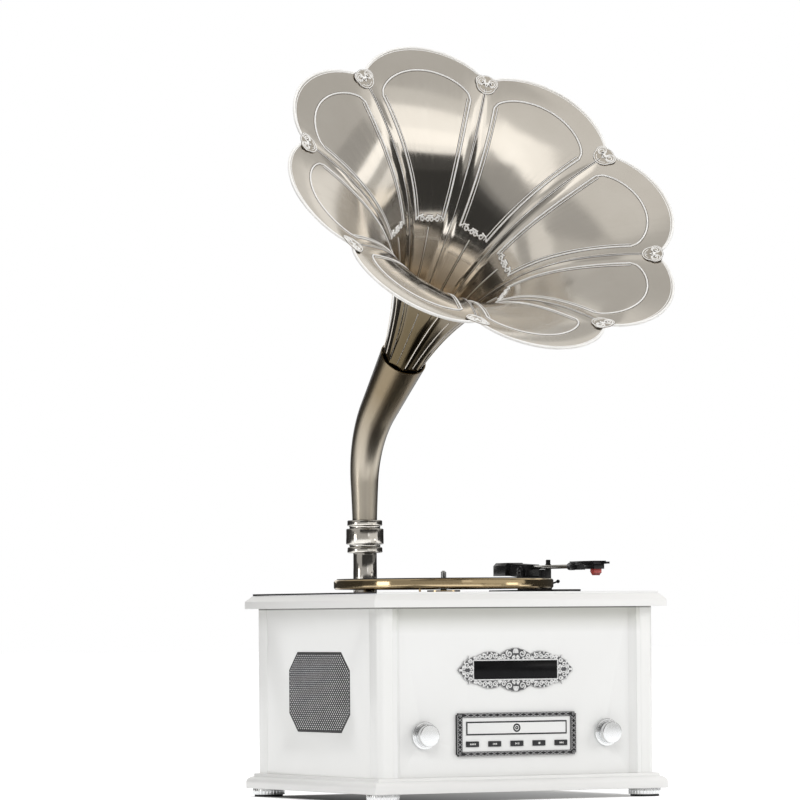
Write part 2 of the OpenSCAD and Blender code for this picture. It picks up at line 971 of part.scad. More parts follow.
module cd_tray() {
  seat_y = panel_y + 6 + disc_seat_d / 2;
  color("gray")
    difference() {
      block([-tray_w / 2, panel_y, tray_bottom], [tray_w / 2, panel_y + tray_len, tray_bottom + tray_t]);
      translate([0, seat_y, tray_bottom + tray_t - disc_seat_depth])
        cylinder(d = disc_seat_d, h = disc_seat_depth + over);
      translate([0, seat_y, tray_bottom - over]) cylinder(d = 36, h = tray_t + 2 * over);
      block([-18, seat_y, tray_bottom - over], [18, panel_y + tray_len + over, tray_bottom + tray_t + over]);
    }
}

module tray_front() {
  color("white")
    block([-tray_front_w / 2, panel_y - tray_front_t, tray_mid - tray_front_h / 2],
          [tray_front_w / 2, panel_y, tray_mid + tray_front_h / 2]);
}

// Turntable

module bearing_housing() {
  color("goldenrod")
    translate([platter_x, platter_y, 0])
      difference() {
        union() {
          translate([0, 0, deck_z]) cylinder(d = bearing_flange_d, h = bearing_flange_h);
          translate([0, 0, deck_z - bearing_len]) cylinder(d = bearing_d, h = bearing_len);
        }
        translate([0, 0, deck_z - bearing_len + bearing_floor])
          cylinder(d = spindle_d + 2 * running_fit, h = bearing_len + bearing_flange_h);
      }
}

module spindle() {
  shoulder_z = deck_z + bearing_flange_h + 1;
  color("silver")
    translate([platter_x, platter_y, 0]) {
      translate([0, 0, spindle_end]) cylinder(d = spindle_d, h = mat_z - 0.5 - spindle_end);
      translate([0, 0, shoulder_z]) cylinder(d = spindle_d + 12, h = platter_z + 2.3 - shoulder_z);
      translate([0, 0, mat_z - 0.5]) cylinder(d = pin_root_d, h = mat_t + 0.5);
      translate([0, 0, mat_z + mat_t]) cylinder(d = pin_d, h = pin_h - pin_d / 4);
      translate([0, 0, mat_z + mat_t + pin_h - pin_d / 4]) cylinder(d1 = pin_d, d2 = pin_d / 2, h = pin_d / 4);
    }
}

module platter() {
  r = platter_d / 2;
  under = platter_h - platter_plate_t;
  ring_r = belt_ring_d / 2;
  color("darkkhaki")
    translate([platter_x, platter_y, platter_z])
      rotate_extrude($fn = 180)
        polygon([
          [spindle_d / 2 + running_fit, 2.3], [14, 2.3], [14, under],
          [ring_r - 6, under], [ring_r - 6, 1], [ring_r, 1], [ring_r, under],
          [r - platter_rim_w, under], [r - platter_rim_w, 0], [r - 2, 0], [r, 2],
          [r, platter_h - 1.7], [r - 1.6, platter_h], [spindle_d / 2 + running_fit, platter_h]
        ]);
}

module platter_mat() {
  color("black")
    translate([platter_x, platter_y, mat_z])
      difference() {
        cylinder(d = mat_d, h = mat_t, $fn = 180);
        translate([0, 0, -over]) cylinder(d = spindle_d + 1, h = mat_t + 2 * over);
      }
}

module motor() {
  top = top_z;
  color("gray")
    translate([pulley_x, pulley_y, 0])
      difference() {
        union() {
          translate([0, 0, top - motor_plate_t]) cylinder(d = motor_d + 14, h = motor_plate_t);
          translate([0, 0, top - motor_plate_t - motor_h]) cylinder(d = motor_d, h = motor_h);
        }
        translate([0, 0, top - 16]) cylinder(d = motor_shaft_d + 2 * running_fit, h = 16 + over);
      }
}

module motor_pulley() {
  r = pulley_d / 2;
  color("goldenrod")
    translate([pulley_x, pulley_y, 0]) {
      translate([0, 0, top_z - 14]) cylinder(d = motor_shaft_d, h = belt_z + 14 - top_z);
      translate([0, 0, belt_z]) cylinder(r = r, h = belt_h);
      translate([0, 0, belt_z - 1]) cylinder(r = r + 1.8, h = 0.7);
      translate([0, 0, belt_z - 0.3]) cylinder(r = r, h = 0.3);
      translate([0, 0, belt_z + belt_h]) cylinder(r = r, h = 0.3);
      translate([0, 0, belt_z + belt_h + 0.3]) cylinder(r = r + 1.8, h = 0.7);
    }
}

// The outline of a belt round a wheel of radius big at the origin and one of radius small at reach
function belt_outline(big, small, reach) =
  let (a = acos((big - small) / reach), n = belt_steps)
    concat(
      [for (i = [0 : n]) let (t = a + i * (360 - 2 * a) / n) big * [cos(t), sin(t)]],
      [for (i = [0 : n / 4]) let (t = -a + i * 2 * a / (n / 4)) [reach, 0] + small * [cos(t), sin(t)]]
    );

module drive_belt() {
  big = belt_ring_d / 2 + joint_gap;
  small = pulley_d / 2 + joint_gap;
  color("black")
    translate([platter_x, platter_y, belt_z]) rotate(pulley_turn)
      linear_extrude(belt_h)
        difference() {
          polygon(belt_outline(big + belt_t, small + belt_t, pulley_reach));
          polygon(belt_outline(big, small, pulley_reach));
        }
}

// Tonearm

// Local frame of the parked arm: origin on the deck's level at the pivot, Y towards the back
module along_arm() {
  translate([arm_x, arm_y, 0]) rotate(-park_angle) children();
}

// A box along the arm, from the distance near to far in front of the pivot
module arm_block(near, far, low_x, high_x, low_z, high_z) {
  block([low_x, -far, low_z], [high_x, -near, high_z]);
}

module tonearm_base() {
  x = arm_base_w / 2;
  color("black")
    difference() {
      union() {
        rounded_block([arm_x - x, arm_y - arm_base_front, deck_z],
                      [arm_x + x, arm_y + arm_base_back, deck_z + arm_base_t], 4);
        translate([arm_x, arm_y, deck_z - arm_sleeve_len]) cylinder(d = arm_sleeve_d, h = arm_sleeve_len + 7);
        translate([arm_x, arm_y, deck_z]) cylinder(d = turret_d, h = 7);
        for (side = [-1, 1])
          block([arm_x + cue_x + side * 3 - 1, arm_y - cue_reach - 3, deck_z],
                [arm_x + cue_x + side * 3 + 1, arm_y - cue_reach + 3, cue_z + 3]);
      }
      translate([arm_x, arm_y, deck_z - arm_sleeve_len - over])
        cylinder(d = arm_shaft_d + 2 * running_fit, h = arm_sleeve_len + 7 + 2 * over);
      translate([arm_x + cue_x - 5, arm_y - cue_reach, cue_z]) rotate([0, 90, 0])
        cylinder(d = 2 + 2 * running_fit, h = 10, $fn = 48);
    }
}

module cue_lever() {
  color("black")
    translate([arm_x + cue_x, arm_y - cue_reach, cue_z]) {
      translate([-4, 0, 0]) rotate([0, 90, 0]) cylinder(d = 2, h = 8, $fn = 48);
      translate([-1.5, 0, 0]) rotate([0, 90, 0]) cylinder(d = 5, h = 3, $fn = 48);
      rotate([80, 0, 0]) cylinder(d = 2.4, h = cue_len);
      rotate([80, 0, 0]) translate([0, 0, cue_len]) sphere(d = 5, $fn = 48);
    }
}

module arm_rest() {
  top = tube_z - tube_d / 2 - joint_gap;
  side = tube_d / 2 + joint_gap;
  hook_z = tube_z + rest_hook_h;
  near = rest_reach - rest_len / 2;
  far = rest_reach + rest_len / 2;
  color("black")
    along_arm() {
      arm_block(near, far, -rest_w / 2, rest_w / 2, deck_z + arm_base_t, top);
      arm_block(near, far, side, rest_w / 2, top, hook_z);
      arm_block(near + rest_tip_inset, far - rest_tip_inset, side, rest_w / 2, hook_z, hook_z + rest_tip_h);
    }
}

module arm_pivot() {
  in_x = hub_w / 2 + joint_gap;
  out_x = in_x + cheek_t;
  color("black")
    along_arm()
      difference() {
        union() {
          translate([0, 0, deck_z + 1 - arm_sleeve_len]) cylinder(d = arm_shaft_d, h = turret_z + arm_sleeve_len - 1 - deck_z);
          translate([0, 0, turret_z]) cylinder(d = turret_d, h = turret_top - turret_z);
          for (side = [-1, 1]) {
            translate([side * (in_x + cheek_t / 2), 0, (turret_top + hub_z) / 2])
              cube([cheek_t, cheek_w, hub_z - turret_top], center = true);
            translate([side * (in_x + cheek_t / 2) - cheek_t / 2, 0, hub_z]) rotate([0, 90, 0])
              cylinder(d = cheek_w, h = cheek_t);
          }
        }
        translate([-out_x - over, 0, hub_z]) rotate([0, 90, 0])
          cylinder(d = hub_pin_d + 2 * running_fit, h = 2 * (out_x + over));
      }
}

module arm_weight() {
  low = tube_z - 10.8;
  high = tube_z + 7.2;
  near = weight_reach - weight_len;
  edge = 4;
  half = weight_w / 2;
  color("black")
    along_arm() {
      translate([0, weight_reach, 0]) rotate([90, 0, 0])
        linear_extrude(weight_len)
          polygon([[-half, low], [half, low], [half, high - edge], [half - edge, high],
                   [edge - half, high], [-half, high - edge]]);
      translate([-hub_w / 2, 0, 0]) rotate([90, 0, 90])
        linear_extrude(hub_w)
          polygon([[-14, hub_z - 5], [0, hub_z - 7], [near, low], [near, high - 1], [-14, tube_z + 4]]);
      translate([-hub_w / 2 - 3, 0, hub_z]) rotate([0, 90, 0]) cylinder(d = hub_pin_d, h = hub_w + 6);
    }
}

module arm_tube() {
  color("silver")
    along_arm()
      difference() {
        translate([0, -14, tube_z]) rotate([90, 0, 0]) cylinder(d = tube_d, h = tube_len - 14);
        translate([0, -14 + over, tube_z]) rotate([90, 0, 0]) cylinder(d = tube_d - 1.6, h = tube_len);
      }
}

module headshell() {
  near = tube_len + collar_len;
  far = tube_len + headshell_len;
  color("black")
    along_arm() {
      translate([0, -tube_len, tube_z]) rotate([90, 0, 0]) cylinder(d = tube_d + 5, h = collar_len);
      arm_block(near, near + 23, -6, 6, tube_z - 4.8, headshell_top);
      arm_block(near + 23, far, -headshell_w / 2, headshell_w / 2, headshell_top - plate_t, headshell_top);
      arm_block(far, far + 15, headshell_w / 2 - 7, headshell_w / 2 - 2, headshell_top - 4.2, headshell_top - 1.4);
    }
}

module cartridge() {
  far = tube_len + headshell_len - 2;
  color("black")
    along_arm()
      arm_block(far - cartridge_len, far, -cartridge_w / 2, cartridge_w / 2,
                headshell_top - plate_t - cartridge_h, headshell_top - plate_t);
}

module stylus() {
  far = tube_len + headshell_len - 6;
  top = headshell_top - plate_t - cartridge_h;
  color("firebrick")
    along_arm()
      translate([-5.5, 0, 0]) rotate([90, 0, 90])
        linear_extrude(11)
          polygon([[-far, top], [12 - far, top], [13 - far, top - 3], [8.5 - far, top - stylus_h + 1.5],
                   [6 - far, top - stylus_h], [4 - far, top - stylus_h + 2], [-far, top - 5]]);
}

// Horn

module horn_post() {
  r = horn_post_d / 2;
  color("silver")
    translate([horn_x, horn_y, 0]) {
      rotate_extrude()
        polygon([
          [3, top_z - 8], [stud_d / 2, top_z - 8], [stud_d / 2, deck_z], [r, deck_z], [r, collar_z],
          [journal_d / 2, collar_z], [journal_d / 2, collar_z + journal_h],
          [8, collar_z + journal_h], [8, deck_z + 4], [3, deck_z + 4]
        ]);
      translate([0, 0, top_z - 5])
        difference() {
          cylinder(d = 14, h = 5, $fn = 6);
          translate([0, 0, -over]) cylinder(d = stud_d, h = 5 + 2 * over);
        }
    }
}

module horn_collar() {
  fr = flange_d / 2;
  dr = drum_d / 2;
  gr = collar_cavity_d / 2 + 2;
  z1 = collar_z + flange_h;
  z2 = z1 + groove_h;
  z3 = z2 + drum_h;
  z4 = z3 + groove_h;
  bore = journal_d / 2 + running_fit;
  floor_z = collar_z + journal_h + 1;
  roof_z = z4 - 1;
  neck = elbow_d / 2 - 3;
  color("silver")
    translate([horn_x, horn_y, 0])
      rotate_extrude()
        polygon([
          [bore, collar_z], [fr - 1, collar_z], [fr, collar_z + 1], [fr, z1 - 1], [fr - 1, z1],
          [gr, z1], [gr, z2], [dr - 1, z2], [dr, z2 + 1], [dr, z3 - 1], [dr - 1, z3],
          [gr, z3], [gr, z4], [fr - 1, z4], [fr, z4 + 1], [fr, collar_top - 1], [fr - 1, collar_top],
          [neck, collar_top], [neck, roof_z], [collar_cavity_d / 2, roof_z],
          [collar_cavity_d / 2, floor_z], [bore, floor_z]
        ]);
}

module horn_driver() {
  floor_z = collar_z + journal_h + 1;
  roof_z = collar_top - flange_h - 1;
  color("gray")
    translate([horn_x, horn_y, 0])
      difference() {
        union() {
          translate([0, 0, floor_z]) cylinder(d = collar_cavity_d - 2 * joint_gap, h = 12);
          translate([0, 0, floor_z + 12]) cylinder(d = elbow_d - 10, h = roof_z + 4 - floor_z - 12);
        }
        translate([0, 0, floor_z + 12]) cylinder(d = elbow_d - 14, h = roof_z);
      }
}

// Place and direction of the elbow's centreline, s from its foot
function elbow_turn(s) = s < elbow_rise ? 0 : min(bend_angle, (s - elbow_rise) / elbow_r * 180 / PI);
function elbow_point(s) =
  let (a = elbow_turn(s), rest = max(0, s - elbow_rise - bend_len))
    s < elbow_rise
      ? [horn_x, horn_y, collar_top + s]
      : [horn_x, horn_y - elbow_r * (1 - cos(a)) - rest * sin(a), elbow_bend_z + elbow_r * sin(a) + rest * cos(a)];
function elbow_radius(s) = elbow_d / 2 + (mouth_d - elbow_d) / 2 * pow(s / elbow_len, elbow_swell);

// One ring of points round the centreline
function elbow_ring(s, r) =
  let (c = elbow_point(s), a = elbow_turn(s))
    [for (j = [0 : elbow_sides - 1])
      let (t = j * 360 / elbow_sides) c + r * [cos(t), sin(t) * cos(a), sin(t) * sin(a)]];

module elbow() {
  m = elbow_sides;
  n = elbow_rings;
  outer = [for (i = [0 : n]) each elbow_ring(i * elbow_len / n, elbow_radius(i * elbow_len / n))];
  inner = [for (i = [0 : n]) each elbow_ring(i * elbow_len / n, elbow_radius(i * elbow_len / n) - elbow_wall)];
  shift = (n + 1) * m;
  outer_faces = [for (i = [0 : n - 1], j = [0 : m - 1])
    [i * m + j, (i + 1) * m + j, (i + 1) * m + (j + 1) % m, i * m + (j + 1) % m]];
  inner_faces = [for (i = [0 : n - 1], j = [0 : m - 1])
    [shift + i * m + (j + 1) % m, shift + (i + 1) * m + (j + 1) % m, shift + (i + 1) * m + j, shift + i * m + j]];
  foot_faces = [for (j = [0 : m - 1]) [j, (j + 1) % m, shift + (j + 1) % m, shift + j]];
  mouth_faces = [for (j = [0 : m - 1])
    [shift + n * m + j, shift + n * m + (j + 1) % m, n * m + (j + 1) % m, n * m + j]];
  color("silver")
    polyhedron(concat(outer, inner), concat(outer_faces, inner_faces, foot_faces, mouth_faces), convexity = 4);
}

// Local frames with their origin at the elbow's mouth and Y to the top: Z along the elbow's end,
// and Z along the horn's axis
module along_elbow() {
  translate([horn_x, mouth_y, mouth_z]) rotate([bend_angle, 0, 0]) children();
}

module along_horn() {
  translate([horn_x, mouth_y, mouth_z]) rotate([90 - horn_tilt, 0, 0]) children();
}

// The horn's seam curve: radius at the distance t in front of the mouth
function flare_share(t) = (exp(flare_rate * t / horn_len) - 1) / (exp(flare_rate) - 1);
function seam_r(t) =
  throat_r + flare_cone * t
  + (notch_r - throat_r - flare_cone * horn_len) * pow(max(0, flare_share(t)), flare_power);

// A petal's middle surface: v from throat to rim, u from seam to seam
function scallop(u) = pow(max(0, cos(90 * u)), 0.65);
function petal_point(u, v) =
  let (
    t = horn_len * (1 - pow(1 - v, 1.5)),
    r = seam_r(t),
    a = u * (petal_half - seam_gap / 2 / r * 180 / PI),
    flat = cos(petal_half) / cos(a),
    bulge = 0.25 + 0.75 * pow(v, 4),
    swell = pow(max(0, v - 0.55) / 0.45, 1.6) * scallop(u),
    rr = r * (flat + (1 - flat) * bulge) + petal_rise * swell
  ) [rr * sin(a), rr * cos(a), t + petal_lean * swell];

// The rise of the horn's middle line at the distance t in front of the mouth
function bow(t) = horn_bow * (1 - pow(1 - t / horn_len, 2));

// The direction across the sheet, kept in the seam's own plane at the seams
function petal_across(u, v) =
  let (
    e = 0.02,
    du = petal_point(min(1, u + e), v) - petal_point(max(-1, u - e), v),
    dv = petal_point(u, min(1, v + e)) - petal_point(u, max(0, v - e)),
    raw = cross(dv, du),
    side = [cos(u * petal_half), -sin(u * petal_half), 0],
    kept = abs(u) == 1 ? raw - (raw * side) * side : raw
  ) kept / norm(kept);

function col_u(j) = sin(90 * (2 * j / petal_cols - 1));
function petal_half_t(i, j) =
  sheet_t / 2 + (j == 0 || j == petal_cols || i == petal_rows ? rib_h / 2 : 0);

// A point of a petal turned about the horn's axis to its place, then raised with the bowed middle line
function turned(p, turn) =
  [p.x * cos(turn) - p.y * sin(turn), p.x * sin(turn) + p.y * cos(turn) + bow(min(p.z, horn_len)), p.z];

module petal(turn) {
  rows = petal_rows + 1;
  cols = petal_cols + 1;
  sheet = [for (side = [-1, 1], i = [0 : petal_rows], j = [0 : petal_cols])
    let (u = col_u(j), v = i / petal_rows)
      turned(petal_point(u, v) + side * petal_half_t(i, j) * petal_across(u, v), turn)];
  back = rows * cols;
  skin = [for (i = [0 : petal_rows - 1], j = [0 : petal_cols - 1])
    let (k = i * cols + j) [k, k + 1, k + cols + 1, k + cols]];
  front_skin = [for (f = skin) [back + f[3], back + f[2], back + f[1], back + f[0]]];
  seams = [for (i = [0 : petal_rows - 1], j = [0, petal_cols])
    let (k = i * cols + j, f = [k, k + cols, back + k + cols, back + k])
      j == 0 ? f : [f[3], f[2], f[1], f[0]]];
  ends = [for (i = [0, petal_rows], j = [0 : petal_cols - 1])
    let (k = i * cols + j, f = [k + 1, k, back + k, back + k + 1])
      i == 0 ? f : [f[3], f[2], f[1], f[0]]];
  polyhedron(sheet, concat(skin, front_skin, seams, ends), convexity = 4);
}

module horn_petals() {
  color("lightgray")
    along_horn()
      for (k = [0 : petals - 1]) petal(k * 360 / petals);
}

module horn_neck() {
  slope = (elbow_radius(elbow_len) - elbow_radius(elbow_len - 10)) / 10;
  seat_r = mouth_d / 2 - elbow_wall - joint_gap;
  end_r = elbow_radius(elbow_len - neck_len) - elbow_wall - 1.4;
  color("dimgray")
    along_elbow()
      rotate(petal_half) {
        difference() {
          translate([0, 0, -neck_len]) cylinder(r1 = end_r, r2 = throat_r, h = neck_len - 1.2, $fn = petals);
          translate([0, 0, -neck_len - 0.01])
            cylinder(r1 = end_r - 1.6, r2 = throat_r - 1.6, h = neck_len - 1.18, $fn = petals);
        }
        intersection() {
          translate([0, 0, -11]) cylinder(r1 = seat_r - slope * 10, r2 = seat_r, h = 10);
          for (k = [0 : petals - 1])
            rotate(k * 360 / petals) block([throat_r - 4, -1.5, -11], [seat_r + 2, 1.5, -1]);
        }
      }
}

module medallion() {
  r = medallion_d / 2;
  cylinder(r = r, h = medallion_t);
  translate([0, 0, medallion_t]) {
    rotate_extrude() translate([r - 1.6, 0]) circle(r = 1.2, $fn = 24);
    for (y = [-0.42, 0.42])
      translate([0, y * r, 0]) {
        rotate_extrude() translate([r * 0.3, 0]) circle(r = 0.9, $fn = 24);
        cylinder(r = r * 0.1, h = 1.2);
      }
  }
}

module horn_medallions() {
  e = 1;
  slope = (seam_r(horn_len) - seam_r(horn_len - e)) / e;
  lift = sheet_t / 2 + rib_h / 2 + joint_gap;
  color("silver")
    along_horn() translate([0, horn_bow, 0])
      for (k = [0 : petals - 1])
        rotate(petal_half + k * 360 / petals)
          translate([notch_r, 0, horn_len]) rotate([0, -atan(1 / slope), 0])
            translate([0, 0, lift]) medallion();
}

// Electrical parts

module main_board() {
  x = main_board_w / 2;
  y = main_board_d / 2;
  bottom = case_z + pillar_h;
  top = bottom + board_t;
  color("darkgreen")
    translate([main_board_x, main_board_y, 0]) {
      four_corners() translate([x - pillar_d, y - pillar_d, case_z]) cylinder(d = pillar_d, h = pillar_h);
      block([-x, -y, bottom], [x, y, top]);
      // Heat sink, three capacitors and a chip
      block([20, -30, top], [30, 30, top + 18]);
      for (i = [0 : 2]) translate([-50 + 22 * i, 30, top]) cylinder(d = capacitor_d, h = capacitor_h);
      block([-40, -20, top], [-15, 5, top + 3]);
    }
}

module transformer() {
  x = transformer_w / 2;
  y = transformer_d / 2;
  foot_t = 3;
  color("gray")
    translate([transformer_x, transformer_y, case_z]) {
      block([-x - 6, -y - 6, 0], [x + 6, y + 6, foot_t]);
      block([-x, -y, foot_t], [x, y, transformer_h]);
      block([10 - x, -y - 6, foot_t + 5], [x - 10, y + 6, transformer_h - 6]);
    }
}

module power_inlet() {
  x = inlet_w / 2;
  z = inlet_h / 2;
  pin_x = 4.3;
  rim = 2;
  color("black")
    translate([inlet_x, 0, rear_z]) {
      difference() {
        union() {
          block([-x - 8, back_y, -z - 3], [x + 8, back_y + rim, z + 3]);
          block([-x, back_in - 8, -z], [x, back_y, z]);
        }
        block([2 - x, back_y - inlet_depth, 3 - z], [x - 2, back_y + rim + over, z - 3]);
      }
      for (side = [-1, 1]) rod_y(side * pin_x, back_y - inlet_depth, 0, 2.4, 8);
    }
}

module audio_sockets() {
  x = sockets_w / 2;
  z = sockets_h / 2;
  rim = 1.5;
  color("gray")
    translate([sockets_x, 0, rear_z])
      difference() {
        union() {
          block([-x - 3, back_y, -z - 2], [x + 3, back_y + rim, z + 2]);
          block([-x, back_in - 4, -z], [x, back_y, z]);
          for (side = [-1, 1]) rod_y(side * socket_d, back_y, 0, socket_d, rim + socket_len);
        }
        for (side = [-1, 1]) rod_y(side * socket_d, back_y + rim, 0, 3.2, socket_len + over);
      }
}

feet();
foot_pads();
base_board();
corner_posts();
left_side();
right_side();
front_panel();
back_panel();
top_board();
deck_plate();
left_grille();
right_grille();
speaker_frames();
speaker_cones();
display_surround();
display_window();
display_board();
control_bezel();
control_panel();
button_board();
cd_chassis();
cd_tray();
tray_front();
source_button();
previous_button();
play_button();
stop_button();
next_button();
knob_rings();
knob_controls();
volume_knob();
tuning_knob();
bearing_housing();
spindle();
platter();
platter_mat();
motor();
motor_pulley();
drive_belt();
tonearm_base();
arm_rest();
arm_pivot();
arm_weight();
arm_tube();
headshell();
cartridge();
stylus();
cue_lever();
horn_post();
horn_collar();
horn_driver();
elbow();
horn_neck();
horn_petals();
horn_medallions();
main_board();
transformer();
power_inlet();
audio_sockets();
case_screws();
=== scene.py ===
"""The looks of a record player with a swivelling petal horn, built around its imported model."""
import json
import math

import bpy
from mathutils import Matrix, Vector


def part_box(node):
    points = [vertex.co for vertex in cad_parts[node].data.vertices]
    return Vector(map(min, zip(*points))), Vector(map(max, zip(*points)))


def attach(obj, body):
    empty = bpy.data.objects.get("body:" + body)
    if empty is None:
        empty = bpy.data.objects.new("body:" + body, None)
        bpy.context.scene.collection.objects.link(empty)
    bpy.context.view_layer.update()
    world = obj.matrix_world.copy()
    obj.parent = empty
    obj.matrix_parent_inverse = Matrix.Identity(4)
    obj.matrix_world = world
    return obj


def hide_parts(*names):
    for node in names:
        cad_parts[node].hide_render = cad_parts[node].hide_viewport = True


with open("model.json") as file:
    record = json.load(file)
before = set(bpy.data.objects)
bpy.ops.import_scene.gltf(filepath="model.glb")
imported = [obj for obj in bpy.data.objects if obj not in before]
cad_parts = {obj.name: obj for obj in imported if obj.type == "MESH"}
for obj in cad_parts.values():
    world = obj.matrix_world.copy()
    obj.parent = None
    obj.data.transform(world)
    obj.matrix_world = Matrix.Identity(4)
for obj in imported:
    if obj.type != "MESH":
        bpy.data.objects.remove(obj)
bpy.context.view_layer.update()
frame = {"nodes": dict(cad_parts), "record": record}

MM = 0.001
NODES = frame["nodes"]
SLOT = {row["node"]: row["material_slot"] for row in frame["record"]["subparts"]}
BODY = {node: body for body, nodes in frame["record"]["behaviour"]["bodies"].items() for node in nodes}


# Camera, floor and light

CAMERA_PLACE = (-3.3438, -5.9296, 0.2337)
CAMERA_YAW = 28.83
CAMERA_PITCH = 2.48
CAMERA_ROLL = -0.43
CAMERA_LENS = 229.5


def place_camera():
    yaw, pitch, roll = (math.radians(a) for a in (CAMERA_YAW, CAMERA_PITCH, CAMERA_ROLL))
    forward = Vector((math.sin(yaw) * math.cos(pitch), math.cos(yaw) * math.cos(pitch), math.sin(pitch)))
    level = Vector((math.cos(yaw), -math.sin(yaw), 0))
    upright = level.cross(forward)
    right = level * math.cos(roll) + upright * math.sin(roll)
    up = upright * math.cos(roll) - level * math.sin(roll)
    data = bpy.data.cameras.new("camera")
    data.lens = CAMERA_LENS
    data.clip_end = 100
    camera = bpy.data.objects.new("camera", data)
    turned = Matrix((right, up, -forward)).transposed().to_4x4()
    camera.matrix_world = Matrix.Translation(CAMERA_PLACE) @ turned
    bpy.context.scene.collection.objects.link(camera)
    bpy.context.scene.camera = camera


def softbox(name, place, aim, width, height, power):
    data = bpy.data.lights.new(name, "AREA")
    data.shape = "RECTANGLE"
    data.size = width
    data.size_y = height
    data.energy = power
    lamp = bpy.data.objects.new(name, data)
    lamp.location = place
    lamp.rotation_euler = (Vector(aim) - Vector(place)).to_track_quat("-Z", "Y").to_euler()
    lamp.visible_glossy = False
    bpy.context.scene.collection.objects.link(lamp)


def seen_directly(tree):
    """1 for what the camera sees itself, in a mirror or through glass, and 0 for what lights the object."""
    wires = Wiring(tree)
    path = wires.add("LightPath").outputs
    seen = wires.math("MAXIMUM", path["Is Camera Ray"], path["Is Glossy Ray"])
    return wires.math("MAXIMUM", seen, path["Is Transmission Ray"])


WORLD_LIGHT = 0.72


def light_world():
    """White to the camera and in mirrors, a little dimmer as light on the object."""
    world = bpy.data.worlds.new("studio")
    bpy.context.scene.world = world
    world.use_nodes = True
    tree = world.node_tree
    background = tree.nodes["Background"]
    background.inputs["Color"].default_value = (1, 1, 1, 1)
    strength = Wiring(tree).between(seen_directly(tree), 0.0, 1.0, WORLD_LIGHT, 1.0)
    tree.links.new(strength, background.inputs["Strength"])


FLOOR_SIZE = 60
FLOOR_GLOW = 0.42


def floor_paint():
    """White paint that glows a little to the camera, with a painted shadow under the cabinet that is darkest
    at its left.
    """
    f = Finish("floor paint", (0.87, 0.87, 0.87), 0.9, specular=0.1)
    low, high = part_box("base_board")
    centre, half = (low + high) / 2, (high - low) / 2
    beside = f.vector("ABSOLUTE", f.vector("SUBTRACT", f.place, (centre.x, centre.y, 0)))
    edge = f.add("SeparateXYZ", Vector=f.vector("DIVIDE", beside, (half.x, half.y, 1))).outputs
    # under is 1 in the cabinet's footprint, where the shadow is painted
    under = f.between(f.math("MAXIMUM", edge["X"], edge["Y"]), 1.03, 0.9, 0.0, 1.0)
    grain = f.add("TexNoise", Vector=f.place, Scale=9.0, Detail=2.0).outputs["Fac"]
    white = f.blend(grain, (0.85, 0.85, 0.85, 1), f.colour)
    sideways = f.axis("X")
    share = f.between(sideways, low.x, high.x, 0.0, 1.0)
    # The painted shadow's colour under the cabinet, darkest at its left
    dark = f.blend(share, (0.06, 0.06, 0.05, 1), (0.4, 0.39, 0.35, 1))
    f.put("Base Color", f.blend(under, white, dark))
    # The glow also drops under the cabinet, as part of the painted shadow
    shine = f.between(under, 0.0, 1.0, FLOOR_GLOW, f.between(sideways, low.x, high.x, 0.02, 0.4))
    f.shader.inputs["Emission Color"].default_value = (1, 1, 1, 1)
    f.put("Emission Strength", f.math("MULTIPLY", seen_directly(f.tree), shine))
    return f.material


def lay_floor():
    """A pale floor that shades off into the white background and keeps the object's shadow."""
    bpy.ops.mesh.primitive_plane_add(size=FLOOR_SIZE, location=(0, 0, 0))
    floor = bpy.context.object
    floor.name = "floor"
    floor.data.materials.append(floor_paint())


REFLECTION_CENTRE = Vector((-0.05, 0.0, 0.7))
CARD_TINT = (1, 0.98, 0.94)


def card_paint(name, level):
    """Plain light of one brightness."""
    paint = bpy.data.materials.new(name + "_paint")
    paint.use_nodes = True
    tree = paint.node_tree
    tree.nodes.remove(tree.nodes["Principled BSDF"])
    light = Wiring(tree).add("Emission", Color=[level * share for share in CARD_TINT] + [1])
    tree.links.new(light.outputs[0], tree.nodes["Material Output"].inputs["Surface"])
    return paint


def reflector(name, turn, rise, distance, level, steps=12):
    """A curved card that only shiny surfaces see, as a studio shapes the light on bright metal.

    turn and rise are its azimuths and elevations in degrees; azimuth 0 is in front and 90 to the right.
    """
    size = steps + 1
    points = []
    for upward in shares(steps):
        elevation = math.radians(rise[0] + (rise[1] - rise[0]) * upward)
        flat, up = distance * math.cos(elevation), distance * math.sin(elevation)
        for sideways in shares(steps):
            azimuth = math.radians(turn[0] + (turn[1] - turn[0]) * sideways)
            way = Vector((flat * math.sin(azimuth), -flat * math.cos(azimuth), up))
            points.append(REFLECTION_CENTRE + way)
    faces = [(i * size + j, i * size + j + 1, (i + 1) * size + j + 1, (i + 1) * size + j)
             for i in range(steps) for j in range(steps)]
    mesh = bpy.data.meshes.new(name)
    mesh.from_pydata(points, [], faces)
    mesh.materials.append(card_paint(name, level))
    card = bpy.data.objects.new(name, mesh)
    bpy.context.scene.collection.objects.link(card)
    card.visible_camera = False
    card.visible_diffuse = False
    card.visible_shadow = False
    card.visible_transmission = False


